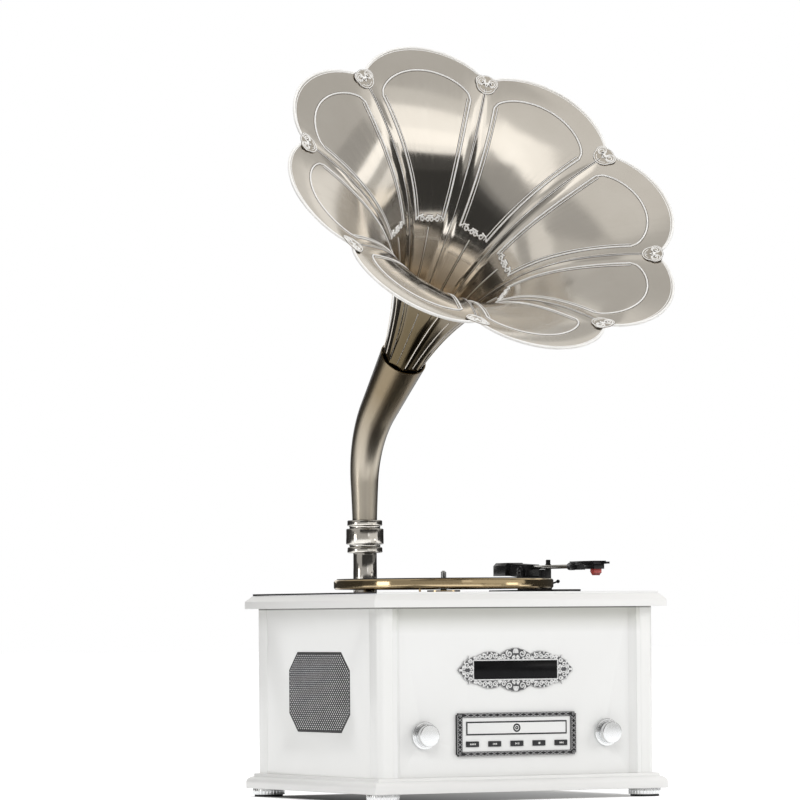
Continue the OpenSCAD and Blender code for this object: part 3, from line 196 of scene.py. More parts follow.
# The cards: name, azimuths, elevations, distance, brightness and, if not 12, the steps of the mesh
CARDS = [
    ("tent", (-180, 180), (12, 90), 7.0, 0.5, 32),
    ("ceiling_front", (-30, 58), (34, 88), 3.0, 0.64, 24),
    ("ceiling_left", (-130, -28), (28, 88), 3.0, 0.52, 24),
    ("ceiling_right", (56, 160), (28, 88), 3.0, 0.46, 24),
    ("dark_front", (-62, 58), (-14, 15), 0.95, 0.04),
    ("dark_front_upper", (-62, 58), (-1, 19), 2.4, 0.06),
    ("dim_floor", (0, 58), (-27, -14), 0.95, 0.7),
    ("dark_left", (-62, -2), (18.5, 23), 2.4, 0.2),
    ("dim_left", (-62, -6), (23, 39), 2.4, 0.34),
    ("bright_front", (0, 58), (19.5, 36), 2.4, 1.05),
    ("bright_front_middle", (4, 56), (23, 29), 2.3, 1.2),
    ("bright_left", (-8, 12), (35, 45), 2.3, 1.15),
    ("bright_left_middle", (-20, 6), (40, 49), 2.25, 1.15),
    ("bright_left_upper", (-32, 2), (45, 54), 2.2, 1.05),
    ("dim_front_upper", (22, 56), (41, 56), 2.4, 0.48),
    ("dark_right", (58, 108), (0, 12), 2.4, 0.18),
    ("bright_right", (58, 102), (12.5, 20), 2.4, 0.85),
    ("dim_right", (58, 102), (20, 24), 2.4, 0.5),
    ("bright_right_upper", (58, 100), (24, 28.5), 2.4, 1.2),
    ("dark_right_upper", (58, 98), (28.5, 36), 2.4, 0.34),
    ("dark_back", (102, 132), (0, 16), 2.4, 0.26),
    ("bright_back", (102, 128), (16.5, 24), 2.4, 1.05),
    ("dim_back", (102, 122), (24, 29), 2.35, 0.4),
    ("back_wall", (100, 136), (29, 44), 2.4, 0.84),
    ("back_wall_upper", (96, 122), (44, 64), 2.4, 0.68),
    ("far_back_low", (132, 155), (3, 16), 2.4, 0.45),
    ("far_back", (128, 155), (16, 37), 2.45, 0.95),
    ("far_back_upper", (132, 145), (37, 57), 2.45, 0.66),
    ("dark_far_back", (145, 158), (44, 54), 2.4, 0.24),
    ("left_back", (155, 182), (15, 37), 2.4, 0.25),
    ("left_back_middle", (155, 182), (37, 48), 2.4, 0.6),
    ("left_back_upper", (155, 182), (48, 64), 2.4, 0.2),
    ("pale_left", (-102, -64), (53, 67), 2.5, 0.74),
    ("dark_overhead", (-72, -30), (61, 84), 2.4, 0.38),
    ("pale_left_low", (-125, -88), (38.5, 44.5), 2.4, 0.76),
    ("dark_left_high", (-118, -84), (45, 53), 2.4, 0.38),
    ("low_left_back", (-180, -121), (-15, 12), 2.4, 0.06),
    ("low_left", (-121, -10), (-13, 12), 2.6, 0.4),
    ("low_left_dark", (-121, -100), (-13, 0), 2.35, 0.1),
    ("low_left_streak", (-101, -86), (-14, -5), 2.3, 3.4, 4),
    ("low_front", (-10, 42), (-13, -7), 2.6, 0.5),
    ("low_front_dark", (9, 14), (-13, -5), 2.3, 0.06, 4),
    ("low_right_streak", (35, 48), (-31, -27), 0.9, 2.6, 4),
    ("knob_side_light", (10, 30), (-29.5, -24), 1.2, 0.85, 4),
    ("knob_side_dim", (30, 52), (-29.5, -24), 1.2, 0.5, 4),
    ("low_right", (58, 142), (-13, 0), 2.5, 0.05),
    ("low_back", (142, 180), (-13, -8), 2.5, 0.05),
]


def set_up_studio():
    bpy.context.scene.view_settings.view_transform = "Standard"
    place_camera()
    light_world()
    lay_floor()
    softbox("key", (-2.6, -3.4, 3.0), (0, 0, 0.35), 2.4, 1.6, 51)
    softbox("fill", (3.2, -2.6, 1.8), (0, 0, 0.3), 1.6, 1.6, 36)
    softbox("top", (0.2, 0.4, 3.6), (0, 0, 0.3), 2.4, 2.4, 32)
    for card in CARDS:
        reflector(*card)


# Node groups: effects that several finishes share

class Wiring:
    """Adds nodes to a tree; a socket is set by its name, or by i and its number."""

    def __init__(self, tree):
        self.tree = tree

    def add(self, kind, settings=(), **sockets):
        node = self.tree.nodes.new("ShaderNode" + kind)
        for key, value in dict(settings).items():
            setattr(node, key, value)
        for key, value in sockets.items():
            socket = node.inputs[int(key[1:]) if key[1:].isdigit() else key.replace("_", " ")]
            if isinstance(value, bpy.types.NodeSocket):
                self.tree.links.new(value, socket)
            else:
                socket.default_value = value
        return node

    def math(self, operation, a, b=0.0):
        return self.add("Math", {"operation": operation}, i0=a, i1=b).outputs[0]

    def vector(self, operation, a, b=(0, 0, 0)):
        node = self.add("VectorMath", {"operation": operation}, i0=a, i1=b)
        return node.outputs["Value" if operation == "LENGTH" else "Vector"]

    def blend(self, factor, a, b):
        return self.add("Mix", {"data_type": "RGBA"}, i0=factor, i6=a, i7=b).outputs[2]

    def between(self, value, low, high, new_low, new_high):
        node = self.add("MapRange", {"clamp": True}, i0=value, i1=low, i2=high, i3=new_low, i4=new_high)
        return node.outputs[0]


def make_group(name, inputs, outputs):
    group = bpy.data.node_groups.new(name, "ShaderNodeTree")
    for title, kind, value in inputs:
        socket = group.interface.new_socket(title, in_out="INPUT", socket_type=kind)
        if value is not None:
            socket.default_value = value
    for title, kind in outputs:
        group.interface.new_socket(title, in_out="OUTPUT", socket_type=kind)
    start = group.nodes.new("NodeGroupInput")
    end = group.nodes.new("NodeGroupOutput")
    return group, Wiring(group), start.outputs, end.inputs


def make_brushing():
    """Fine lines along the first axis of the vector: a height and a mask of duller streaks."""
    group, wires, given, result = make_group(
        "brushing",
        [("Vector", "NodeSocketVector", None), ("Fineness", "NodeSocketFloat", 1400.0),
         ("Stretch", "NodeSocketFloat", 0.02)],
        [("Height", "NodeSocketFloat"), ("Streaks", "NodeSocketFloat")],
    )
    squeeze = wires.add("CombineXYZ", X=given["Stretch"], Y=1.0, Z=1.0).outputs[0]
    lines = wires.vector("MULTIPLY", given["Vector"], squeeze)
    fine = wires.add("TexNoise", Vector=lines, Scale=given["Fineness"], Detail=3.0, Roughness=0.7)
    coarse = wires.math("MULTIPLY", given["Fineness"], 0.12)
    broad = wires.add("TexNoise", Vector=lines, Scale=coarse, Detail=2.0)
    wires.tree.links.new(fine.outputs["Fac"], result["Height"])
    wires.tree.links.new(wires.between(broad.outputs["Fac"], 0.35, 0.65, 0.0, 1.0), result["Streaks"])
    return group


def make_clouds():
    """Slow, soft variation over a surface, from 0 to 1."""
    group, wires, given, result = make_group(
        "clouds",
        [("Vector", "NodeSocketVector", None), ("Size", "NodeSocketFloat", 0.05)],
        [("Mask", "NodeSocketFloat")],
    )
    scale = wires.math("DIVIDE", 1.0, given["Size"])
    noise = wires.add("TexNoise", Vector=given["Vector"], Scale=scale, Detail=4.0, Roughness=0.55)
    wires.tree.links.new(wires.between(noise.outputs["Fac"], 0.3, 0.7, 0.0, 1.0), result["Mask"])
    return group


def make_grain():
    """Fine even grain for moulded and painted surfaces: a height."""
    group, wires, given, result = make_group(
        "grain",
        [("Vector", "NodeSocketVector", None), ("Size", "NodeSocketFloat", 0.0006)],
        [("Height", "NodeSocketFloat")],
    )
    scale = wires.math("DIVIDE", 1.0, given["Size"])
    noise = wires.add("TexNoise", Vector=given["Vector"], Scale=scale, Detail=2.0, Roughness=0.5)
    wires.tree.links.new(noise.outputs["Fac"], result["Height"])
    return group


BRUSHING = make_brushing()
CLOUDS = make_clouds()
GRAIN = make_grain()


class Finish(Wiring):
    """One material: a Principled shader, its coordinates and the shared effects."""

    def __init__(self, name, colour, roughness, metallic=0.0, coat=0.0, coat_roughness=0.05, specular=0.5):
        self.material = bpy.data.materials.new(name)
        self.material.use_nodes = True
        super().__init__(self.material.node_tree)
        self.shader = self.tree.nodes["Principled BSDF"]
        self.colour = (*colour, 1)
        self.shader.inputs["Base Color"].default_value = self.colour
        self.shader.inputs["Roughness"].default_value = roughness
        self.shader.inputs["Metallic"].default_value = metallic
        self.shader.inputs["Coat Weight"].default_value = coat
        self.shader.inputs["Coat Roughness"].default_value = coat_roughness
        self.shader.inputs["Specular IOR Level"].default_value = specular
        self.place = self.add("TexCoord").outputs["Object"]
        self.roughness = roughness

    def put(self, socket, value):
        self.tree.links.new(value, self.shader.inputs[socket])

    def group(self, tree, **sockets):
        return self.add("Group", {"node_tree": tree}, **sockets).outputs

    def axis(self, name, place=None):
        return self.add("SeparateXYZ", Vector=place or self.place).outputs[name]

    def on_surface(self):
        """The place on the surface that a shell gives each of its points."""
        return self.add("UVMap", {"uv_map": "places"}).outputs[0]

    def strokes(self, place, across, along, **settings):
        """Noise drawn out along the second direction of a place."""
        drawn = self.vector("MULTIPLY", place, (across, along, 1))
        return self.add("TexNoise", Vector=drawn, Scale=1.0, **settings).outputs["Fac"]

    def clouds(self, size):
        return self.group(CLOUDS, Vector=self.place, Size=size)["Mask"]

    def grain(self, size, depth, strength):
        self.bump(self.group(GRAIN, Vector=self.place, Size=size)["Height"], depth, strength)

    def worn(self, size, share, other):
        """The finish's colour with clouds of another."""
        return self.blend(self.math("MULTIPLY", self.clouds(size), share), self.colour, (*other, 1))

    def tint(self, mask, other, share=1.0):
        """Blends the colour towards another where the mask is 1."""
        self.put("Base Color", self.blend(self.math("MULTIPLY", mask, share), self.colour, (*other, 1)))

    def dull(self, mask, more):
        """Makes the surface rougher where the mask is 1."""
        self.put("Roughness", self.math("ADD", self.roughness, self.math("MULTIPLY", mask, more)))

    def bump(self, height, depth, strength):
        self.put("Normal", self.add("Bump", Height=height, Distance=depth, Strength=strength).outputs[0])


def white_lacquer():
    f = Finish("white lacquer", (0.86, 0.855, 0.84), 0.3, coat=0.25, coat_roughness=0.12)
    f.tint(f.clouds(0.3), (0.83, 0.825, 0.805), 0.5)
    f.dull(f.clouds(0.12), 0.04)
    f.grain(0.0014, 0.00001, 0.2)
    return f.material


def case_lacquer(name, colour, shade):
    """White lacquer with painted shade under the top board's overhang, greying towards it, and a painted
    dark line of shade in the joint under it.
    """
    low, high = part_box("top_board")
    f = Finish(name, colour, 0.3, coat=0.25, coat_roughness=0.12)
    level = f.axis("Z")
    worn = f.worn(0.3, 0.5, (0.84, 0.84, 0.82))
    # Painted shade under the top board's overhang, strongest just below it
    near = f.between(level, low.z - 0.034, low.z - 0.008, 0.0, shade)
    shaded = f.blend(near, worn, (0.42, 0.42, 0.35, 1))
    # A painted dark line of shade in the joint just under the top board
    joint = f.between(level, low.z - 0.0022, low.z - 0.0012, 0.0, 0.8)
    f.put("Base Color", f.blend(joint, shaded, (0.10, 0.10, 0.085, 1)))
    f.dull(f.clouds(0.12), 0.04)
    f.grain(0.0014, 0.00001, 0.2)
    return f.material


def white_panel():
    f = Finish("white panel", (0.84, 0.84, 0.83), 0.3, coat=0.2)
    f.tint(f.clouds(0.05), (0.80, 0.80, 0.78), 0.5)
    f.grain(0.0008, 0.00002, 0.3)
    return f.material


def satin_chrome():
    f = Finish("satin chrome", (0.80, 0.81, 0.815), 0.2, metallic=1.0)
    brush = f.group(BRUSHING, Vector=f.place, Fineness=900.0, Stretch=0.05)
    f.tint(f.clouds(0.04), (0.72, 0.73, 0.74), 0.5)
    f.dull(brush["Streaks"], 0.04)
    f.bump(brush["Height"], 0.000004, 0.2)
    return f.material


def polished_plate():
    """A mirror whose front edge is painted white: a painted reflection along that edge."""
    low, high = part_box("deck_plate")
    f = Finish("polished plate", (0.66, 0.66, 0.67), 0.06)
    f.dull(f.clouds(0.012), 0.05)
    depth = f.axis("Y")
    # mirror is 0 on the front edge, which is painted white as a painted reflection
    mirror = f.between(depth, low.y + 0.0001, low.y + 0.0006, 0.0, 1.0)
    silver = f.worn(0.08, 0.5, (0.58, 0.58, 0.59))
    f.put("Base Color", f.blend(mirror, (0.86, 0.86, 0.85, 1), silver))
    f.put("Metallic", mirror)
    return f.material


def brushed_nickel():
    """Brushed along the piece's own first axis, with warmer and duller clouds."""
    f = Finish("brushed nickel", (0.70, 0.655, 0.59), 0.24, metallic=1.0)
    brush = f.group(BRUSHING, Vector=f.place, Fineness=900.0, Stretch=0.03)
    f.tint(f.clouds(0.06), (0.62, 0.565, 0.49), 0.6)
    f.dull(brush["Streaks"], 0.1)
    f.bump(brush["Height"], 0.00002, 0.35)
    return f.material


def upright_nickel():
    """Turned parts that stand upright, with fine turning marks around them and a painted dark reflection
    towards their sides.
    """
    f = Finish("upright nickel", (0.80, 0.77, 0.72), 0.1, metallic=1.0)
    brush = f.group(BRUSHING, Vector=f.vector("MULTIPLY", f.place, (0, 0, 1)), Fineness=900.0, Stretch=1.0)
    # Painted dark reflection towards the sides, seen from the camera
    f.put("Base Color", darker_edges(f, f.worn(0.2, 0.5, (0.66, 0.62, 0.56)), (0.02, 0.018, 0.014, 1), 0.3))
    f.dull(brush["Streaks"], 0.04)
    f.bump(brush["Height"], 0.000004, 0.2)
    return f.material


# Places on the petals' outer side are shifted by twice this, so that the finish can tell the sides apart
OUTER_SHIFT = 10.0


def petal_nickel():
    """Nickel sheet brushed from the throat to the rim; it darkens to bronze towards the throat."""
    f = Finish("petal nickel", (0.86, 0.815, 0.75), 0.2, metallic=1.0)
    place = f.on_surface()
    across, depth = f.axis("X", place), f.axis("Y", place)
    cloudy = f.worn(0.05, 0.35, (0.74, 0.69, 0.62))
    bronze = f.blend(f.between(depth, 0.5, 0.1, 0.0, 0.8), cloudy, (0.42, 0.32, 0.20, 1))
    outside = f.math("GREATER_THAN", across, OUTER_SHIFT - 0.5)
    darker = f.math("MULTIPLY", outside, f.between(depth, 1.0, 0.55, 0.2, 1.0))
    f.put("Base Color", f.blend(darker, bronze, (0.13, 0.10, 0.055, 1)))
    streaks = f.strokes(place, 24, 1.2, Detail=2.0)
    f.put("Roughness", f.between(streaks, 0.3, 0.7, 0.1, 0.16))
    f.put("Tangent", f.add("Tangent", {"direction_type": "UV_MAP", "uv_map": "places"}).outputs[0])
    f.shader.inputs["Anisotropic"].default_value = 0.75
    f.bump(f.strokes(place, 150, 1.5, Detail=3.0, Roughness=0.7), 0.00003, 0.3)
    return f.material


def darker_edges(f, colour, edge, start=0.35):
    """Blends a colour towards a darker one where the surface turns away from the camera: a painted dark
    reflection on a rounded part's sides.
    """
    facing = f.add("LayerWeight", Blend=0.5).outputs["Facing"]
    return f.blend(f.between(facing, start, 0.85, 0.0, 1.0), colour, edge)


def tube_nickel():
    """Darker nickel, brushed along the tube, with a painted dark reflection towards its sides; it turns to
    bronze towards the horn.
    """
    f = Finish("tube nickel", (0.53, 0.48, 0.40), 0.3, metallic=1.0)
    place = f.on_surface()
    lines = f.strokes(place, 90, 2.0, Detail=3.0, Roughness=0.7)
    bronze = f.blend(f.between(f.axis("Y", place), 0.3, 0.8, 0.0, 1.0), f.colour, (0.27, 0.215, 0.14, 1))
    # Painted dark reflection towards the sides, seen from the camera
    f.put("Base Color", darker_edges(f, bronze, (0.03, 0.024, 0.016, 1)))
    f.put("Roughness", f.between(lines, 0.3, 0.7, 0.26, 0.4))
    f.bump(lines, 0.00004, 0.4)
    return f.material


def neck_bronze():
    """Dark olive bronze of the horn's narrow end, with a painted dark reflection towards its sides."""
    f = Finish("neck bronze", (0.20, 0.165, 0.10), 0.26, metallic=1.0)
    brush = f.group(BRUSHING, Vector=f.place, Fineness=700.0, Stretch=0.03)
    # Painted dark reflection towards the sides, seen from the camera
    f.put("Base Color", darker_edges(f, f.worn(0.06, 0.5, (0.15, 0.115, 0.065)), (0.02, 0.016, 0.01, 1)))
    f.dull(brush["Streaks"], 0.08)
    f.bump(brush["Height"], 0.00001, 0.3)
    return f.material


# Also the colour of the dark beads of painted shade beside the horn's raised lines
def dark_nickel():
    f = Finish("dark nickel", (0.20, 0.16, 0.125), 0.3, metallic=1.0)
    f.tint(f.clouds(0.02), (0.09, 0.075, 0.06), 0.8)
    f.dull(f.clouds(0.006), 0.15)
    f.bump(f.group(BRUSHING, Vector=f.place, Fineness=1200.0, Stretch=0.05)["Height"], 0.00002, 0.3)
    return f.material


def bright_line():
    """Raised lines painted near-white with little metal, a painted highlight where they catch the light;
    bronze in the throat.
    """
    # Low metal and a near-white colour: a painted highlight on the lines
    f = Finish("bright line", (0.97, 0.96, 0.94), 0.3, metallic=0.2)
    depth = f.axis("Y", f.on_surface())
    worn = f.worn(0.02, 0.4, (0.80, 0.77, 0.72))
    f.put("Base Color", f.blend(f.between(depth, 0.46, 0.3, 0.0, 0.85), worn, (0.42, 0.33, 0.21, 1)))
    f.dull(f.clouds(0.006), 0.08)
    return f.material


def recess_of(f, node, front, deep):
    """1 on what lies deep and 0 on what stands proud, in millimetres before the node's back."""
    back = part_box(node)[1].y
    return f.between(f.axis("Y"), back - front * MM, back - deep * MM, 0.0, 1.0)


def antique_silver():
    f = Finish("antique silver", (0.96, 0.96, 0.955), 0.3, metallic=0.15)
    # Painted shade: the surround goes near black in its recesses, with faint clouds of grime
    recess = recess_of(f, "display_surround", 2.1, 1.3)
    grime_and_recess_shade = f.math("MAXIMUM", recess, f.math("MULTIPLY", f.clouds(0.004), 0.25))
    f.tint(grime_and_recess_shade, (0.10, 0.10, 0.105))
    f.dull(recess, 0.3)
    f.grain(0.0009, 0.00006, 0.4)
    return f.material


def dark_silver():
    f = Finish("dark silver", (0.50, 0.50, 0.505), 0.32, metallic=0.6)
    # Painted shade: the bezel goes near black in its recesses
    recess = recess_of(f, "control_bezel", 3.9, 3.4)
    f.tint(recess, (0.03, 0.03, 0.032))
    f.dull(recess, 0.15)
    f.grain(0.0007, 0.00006, 0.4)
    return f.material


def black_net():
    f = Finish("black net", (0.02, 0.02, 0.021), 0.5)
    f.tint(f.clouds(0.01), (0.05, 0.05, 0.052), 0.7)
    f.grain(0.0012, 0.0001, 0.5)
    return f.material


def net_dots():
    f = Finish("net dots", (0.85, 0.85, 0.86), 0.35)
    f.tint(f.clouds(0.03), (0.5, 0.5, 0.52), 0.55)
    f.grain(0.0005, 0.00002, 0.4)
    return f.material


def black_window():
    f = Finish("black window", (0.002, 0.002, 0.0025), 0.15, specular=0.12)
    f.tint(f.clouds(0.03), (0.008, 0.008, 0.009), 0.6)
    f.dull(f.clouds(0.01), 0.05)
    return f.material


def dark_keys():
    f = Finish("dark keys", (0.022, 0.022, 0.024), 0.35, specular=0.3)
    f.tint(f.clouds(0.005), (0.04, 0.04, 0.043), 0.6)
    f.grain(0.0005, 0.00004, 0.4)
    return f.material


def key_marks():
    f = Finish("key marks", (0.72, 0.72, 0.70), 0.5)
    f.tint(f.clouds(0.001), (0.62, 0.62, 0.60), 0.6)
    return f.material


def dark_line():
    f = Finish("dark line", (0.02, 0.02, 0.021), 0.5, specular=0.3)
    f.tint(f.clouds(0.006), (0.04, 0.04, 0.042), 0.6)
    return f.material


def turned_about(f, centre):
    """The distance from an upright axis, in metres."""
    shift = f.vector("SUBTRACT", f.place, centre)
    return f.vector("LENGTH", f.vector("MULTIPLY", shift, (1, 1, 0)))


def rings(f, distance, pitch):
    """Even ridges round an axis, from -1 to 1."""
    return f.math("SINE", f.math("MULTIPLY", distance, 2 * math.pi / pitch))


def pale_brass():
    low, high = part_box("platter")
    centre = (low + high) / 2
    f = Finish("pale brass", (0.60, 0.47, 0.29), 0.08, metallic=1.0)
    level = f.axis("Z")
    turned = f.add("CombineXYZ", X=turned_about(f, centre), Y=f.math("MULTIPLY", level, 0.6)).outputs[0]
    lines = f.add("TexNoise", Vector=turned, Scale=2600.0, Detail=2.0).outputs["Fac"]
    f.tint(f.clouds(0.12), (0.48, 0.37, 0.21), 0.5)
    f.dull(f.clouds(0.04), 0.04)
    f.bump(lines, 0.000004, 0.3)
    return f.material


def black_rubber():
    low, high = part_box("platter_mat")
    centre = (low + high) / 2
    f = Finish("black rubber", (0.018, 0.018, 0.019), 0.62, specular=0.3)
    f.tint(f.clouds(0.012), (0.035, 0.035, 0.036), 0.8)
    f.dull(f.clouds(0.004), 0.12)
    f.bump(rings(f, turned_about(f, centre), 3 * MM), 0.0002, 0.6)
    return f.material


def arm_black():
    f = Finish("arm black", (0.008, 0.008, 0.009), 0.24, specular=0.3)
    f.tint(f.clouds(0.006), (0.02, 0.02, 0.022), 0.7)
    f.grain(0.0005, 0.00005, 0.4)
    return f.material


def bright_tube():
    f = Finish("bright tube", (0.68, 0.66, 0.62), 0.14, metallic=1.0)
    f.tint(f.clouds(0.01), (0.55, 0.53, 0.49), 0.5)
    f.dull(f.clouds(0.003), 0.08)
    return f.material


def red_stylus():
    f = Finish("red stylus", (0.42, 0.035, 0.03), 0.22, coat=0.5)
    f.tint(f.clouds(0.003), (0.6, 0.12, 0.10), 0.6)
    f.dull(f.clouds(0.002), 0.1)
    return f.material


def zinc_steel():
    f = Finish("zinc steel", (0.5, 0.51, 0.53), 0.32, metallic=1.0)
    f.tint(f.clouds(0.01), (0.38, 0.385, 0.40), 0.8)
    f.dull(f.clouds(0.004), 0.15)
    f.grain(0.001, 0.00004, 0.4)
    return f.material


def circuit_board():
    f = Finish("circuit board", (0.012, 0.085, 0.035), 0.35, coat=0.3)
    white, black = (1, 1, 1, 1), (0, 0, 0, 1)
    tracks = f.add("TexBrick", Vector=f.place, Scale=160.0, Color1=white, Color2=black, Mortar=black)
    f.tint(tracks.outputs["Color"], (0.02, 0.15, 0.06), 0.7)
    f.bump(tracks.outputs["Fac"], 0.00005, 0.4)
    return f.material


def grey_plastic():
    f = Finish("grey plastic", (0.10, 0.10, 0.104), 0.45)
    f.tint(f.clouds(0.01), (0.13, 0.13, 0.135), 0.7)
    f.grain(0.0006, 0.00008, 0.5)
    return f.material


def black_plastic():
    f = Finish("black plastic", (0.02, 0.02, 0.021), 0.5)
    f.tint(f.clouds(0.008), (0.035, 0.035, 0.037), 0.7)
    f.grain(0.0006, 0.00008, 0.5)
    return f.material


def cone_paper():
    f = Finish("cone paper", (0.06, 0.06, 0.06), 0.8)
    f.tint(f.clouds(0.003), (0.1, 0.1, 0.1), 0.7)
    f.grain(0.0015, 0.0002, 0.6)
    return f.material


FINISHES = {
    "white_lacquer": white_lacquer(),
    "white_panel": white_panel(),
    "chrome": satin_chrome(),
    "mirror_plate": polished_plate(),
    "brushed_nickel": brushed_nickel(),
    "dark_nickel": dark_nickel(),
    "antique_silver": antique_silver(),
    "dark_silver": dark_silver(),
    "black_net": black_net(),
    "black_window": black_window(),
    "dark_keys": dark_keys(),
    "brass": pale_brass(),
    "black_rubber": black_rubber(),
    "arm_black": arm_black(),
    "bright_tube": bright_tube(),
    "red_stylus": red_stylus(),
    "steel": zinc_steel(),
    "circuit_board": circuit_board(),
    "grey_plastic": grey_plastic(),
    "black_plastic": black_plastic(),
    "cone_paper": cone_paper(),
}
PETALS_FINISH = petal_nickel()
TUBE_FINISH = tube_nickel()
UPRIGHT_FINISH = upright_nickel()
NECK_FINISH = neck_bronze()
LINES_FINISH = bright_line()
# Three copies of the case lacquer: the sides' lighter colour is painted light, and the front takes the
# strongest painted shade under the top board
FRONT_FINISH = case_lacquer("front lacquer", (0.87, 0.87, 0.86), 0.5)
POST_FINISH = case_lacquer("post lacquer", (0.88, 0.88, 0.865), 0.15)
SIDE_FINISH = case_lacquer("side lacquer", (0.92, 0.92, 0.905), 0.1)
DOTS = net_dots()
MARKS = key_marks()
LINE = dark_line()


# Making and placing pieces

def shares(count):
    """Even steps from 0 to 1."""
    return [i / count for i in range(count + 1)]


def angles_round(count):
    """Even angles round a circle."""
    return [2 * math.pi * i / count for i in range(count)]


def spiral(size, inner, hand, start, turns, steps):
    """Points of a flat spiral that winds inwards to a share of its size; start is in degrees."""
    points = []
    for s in shares(steps):
        a = math.radians(start + hand * 360 * turns * s)
        r = size * (1 - (1 - inner) * s)
        points.append((r * math.cos(a), r * math.sin(a)))
    return points


def only(piece):
    """Selects this piece alone and makes it active."""
    bpy.ops.object.select_all(action="DESELECT")
    piece.select_set(True)
    bpy.context.view_layer.objects.active = piece


def dress(piece, node, material=None, stands=True):
    """Gives a piece its finish and lets it ride with a CAD node, in its place if it stands for it."""
    piece.data.materials.clear()
    piece.data.materials.append(material or FINISHES[SLOT[node]])
    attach(piece, BODY[node])
    if stands:
        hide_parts(node)


def new_piece(name, points, faces):
    """A piece from points in millimetres and faces."""
    mesh = bpy.data.meshes.new(name)
    mesh.from_pydata([Vector(p) * MM for p in points], [], faces)
    mesh.update()
    piece = bpy.data.objects.new(name, mesh)
    bpy.context.scene.collection.objects.link(piece)
    return piece


def smooth(piece, angle):
    only(piece)
    bpy.ops.object.shade_smooth_by_angle(angle=math.radians(angle))


def close_normals(piece):
    """Turns all faces of closed shells outwards."""
    only(piece)
    bpy.ops.object.mode_set(mode="EDIT")
    bpy.ops.mesh.select_all(action="SELECT")
    bpy.ops.mesh.normals_make_consistent(inside=False)
    bpy.ops.object.mode_set(mode="OBJECT")


SHARP_ANGLE = 30


def merged(piece, width, segments):
    """Joins a mesh's loose triangles to flat faces, then rounds its sharp edges."""
    only(piece)
    if piece.data.has_custom_normals:
        bpy.ops.mesh.customdata_custom_splitnormals_clear()
    bpy.ops.object.mode_set(mode="EDIT")
    bpy.ops.mesh.select_all(action="SELECT")
    bpy.ops.mesh.remove_doubles(threshold=0.00001)
    bpy.ops.mesh.dissolve_limited(angle_limit=math.radians(0.5))
    bpy.ops.object.mode_set(mode="OBJECT")
    edge = piece.modifiers.new("edge", "BEVEL")
    edge.width = width * MM
    edge.segments = segments
    edge.limit_method = "ANGLE"
    edge.angle_limit = math.radians(SHARP_ANGLE)
    bpy.ops.object.modifier_apply(modifier=edge.name)
    smooth(piece, SHARP_ANGLE)


def rounded_copy(node, width, segments=2, material=None):
    """A copy of a CAD node with its sharp edges rounded, in the node's place."""
    piece = bpy.data.objects.new("fine_" + node, NODES[node].data.copy())
    bpy.context.scene.collection.objects.link(piece)
    merged(piece, width, segments)
    dress(piece, node, material)


class Shell:
    """Points and faces of one piece, gathered part by part, with each point's place on the surface."""

    def __init__(self):
        self.points = []
        self.faces = []
        self.places = []

    def add(self, points, faces, places=None):
        start = len(self.points)
        self.points += [Vector(p) for p in points]
        self.faces += [tuple(start + i for i in face) for face in faces]
        self.places += places or [(0.5, 0.5)] * len(points)

    def piece(self, name):
        piece = new_piece(name, self.points, self.faces)
        layer = piece.data.uv_layers.new(name="places")
        for loop in piece.data.loops:
            layer.data[loop.index].uv = self.places[loop.vertex_index]
        return piece


def finished(shell, name, node, material=None, stands=True, angle=50):
    """A closed shell as a smooth piece that rides with a CAD node."""
    piece = shell.piece(name)
    close_normals(piece)
    smooth(piece, angle)
    dress(piece, node, material, stands)


def swept(rows, closed=False):
    """Faces between rows of points, each row a section's ring; open sweeps get a face at both ends."""
    count, size = len(rows), len(rows[0])
    points = [p for row in rows for p in row]
    faces = []
    for i in range(count if closed else count - 1):
        a, b = i * size, (i + 1) % count * size
        faces += [(a + j, b + j, b + (j + 1) % size, a + (j + 1) % size) for j in range(size)]
    if not closed:
        faces.append(tuple(range(size)))
        faces.append(tuple(reversed(range((count - 1) * size, count * size))))
    return points, faces


BEAD_STEPS = 5
BEAD_ROOT = 0.3


def bead(line, normals, half, height, closed=False):
    """A half-round bead along a line on a surface, given the surface's normals; its root lies below."""
    last = len(line) - 1
    rows = []
    for i, (point, normal) in enumerate(zip(line, normals)):
        before = line[i - 1] if closed or i else point
        after = line[(i + 1) % len(line)] if closed or i < last else point
        side = (after - before).cross(normal).normalized()
        angles = [math.pi * k / (BEAD_STEPS - 1) for k in range(BEAD_STEPS)]
        row = [point + side * (half * math.cos(a)) + normal * (height * math.sin(a)) for a in angles]
        rows.append(row + [point - normal * BEAD_ROOT])
    return swept(rows, closed)


# Horn: millimetres and degrees, the same values as in the construction

HORN = {
    "tilt": 41.3, "length": 291.6, "bow": 5.7, "notch_r": 241.0, "rise": 38.6, "lean": 9.3,
    "throat_r": 28.5, "cone": 0.155, "rate": 2.239, "power": 1.536, "seam_gap": 0.3, "sheet": 1.2,
}
PETALS = 8
PETAL_HALF = 180 / PETALS
MOUTH = Vector((-52.0, 40.711, 585.095))
HORN_FRAME = Matrix.Translation(MOUTH) @ Matrix.Rotation(math.radians(90 - HORN["tilt"]), 4, "X")


def seam_radius(t):
    share = (math.exp(HORN["rate"] * t / HORN["length"]) - 1) / (math.exp(HORN["rate"]) - 1)
    rise = HORN["notch_r"] - HORN["throat_r"] - HORN["cone"] * HORN["length"]
    return HORN["throat_r"] + HORN["cone"] * t + rise * max(0.0, share) ** HORN["power"]


def depth_of(v):
    """How far along the axis v lies; even steps of v crowd towards the rim."""
    return HORN["length"] * (1 - (1 - v) ** 1.5)


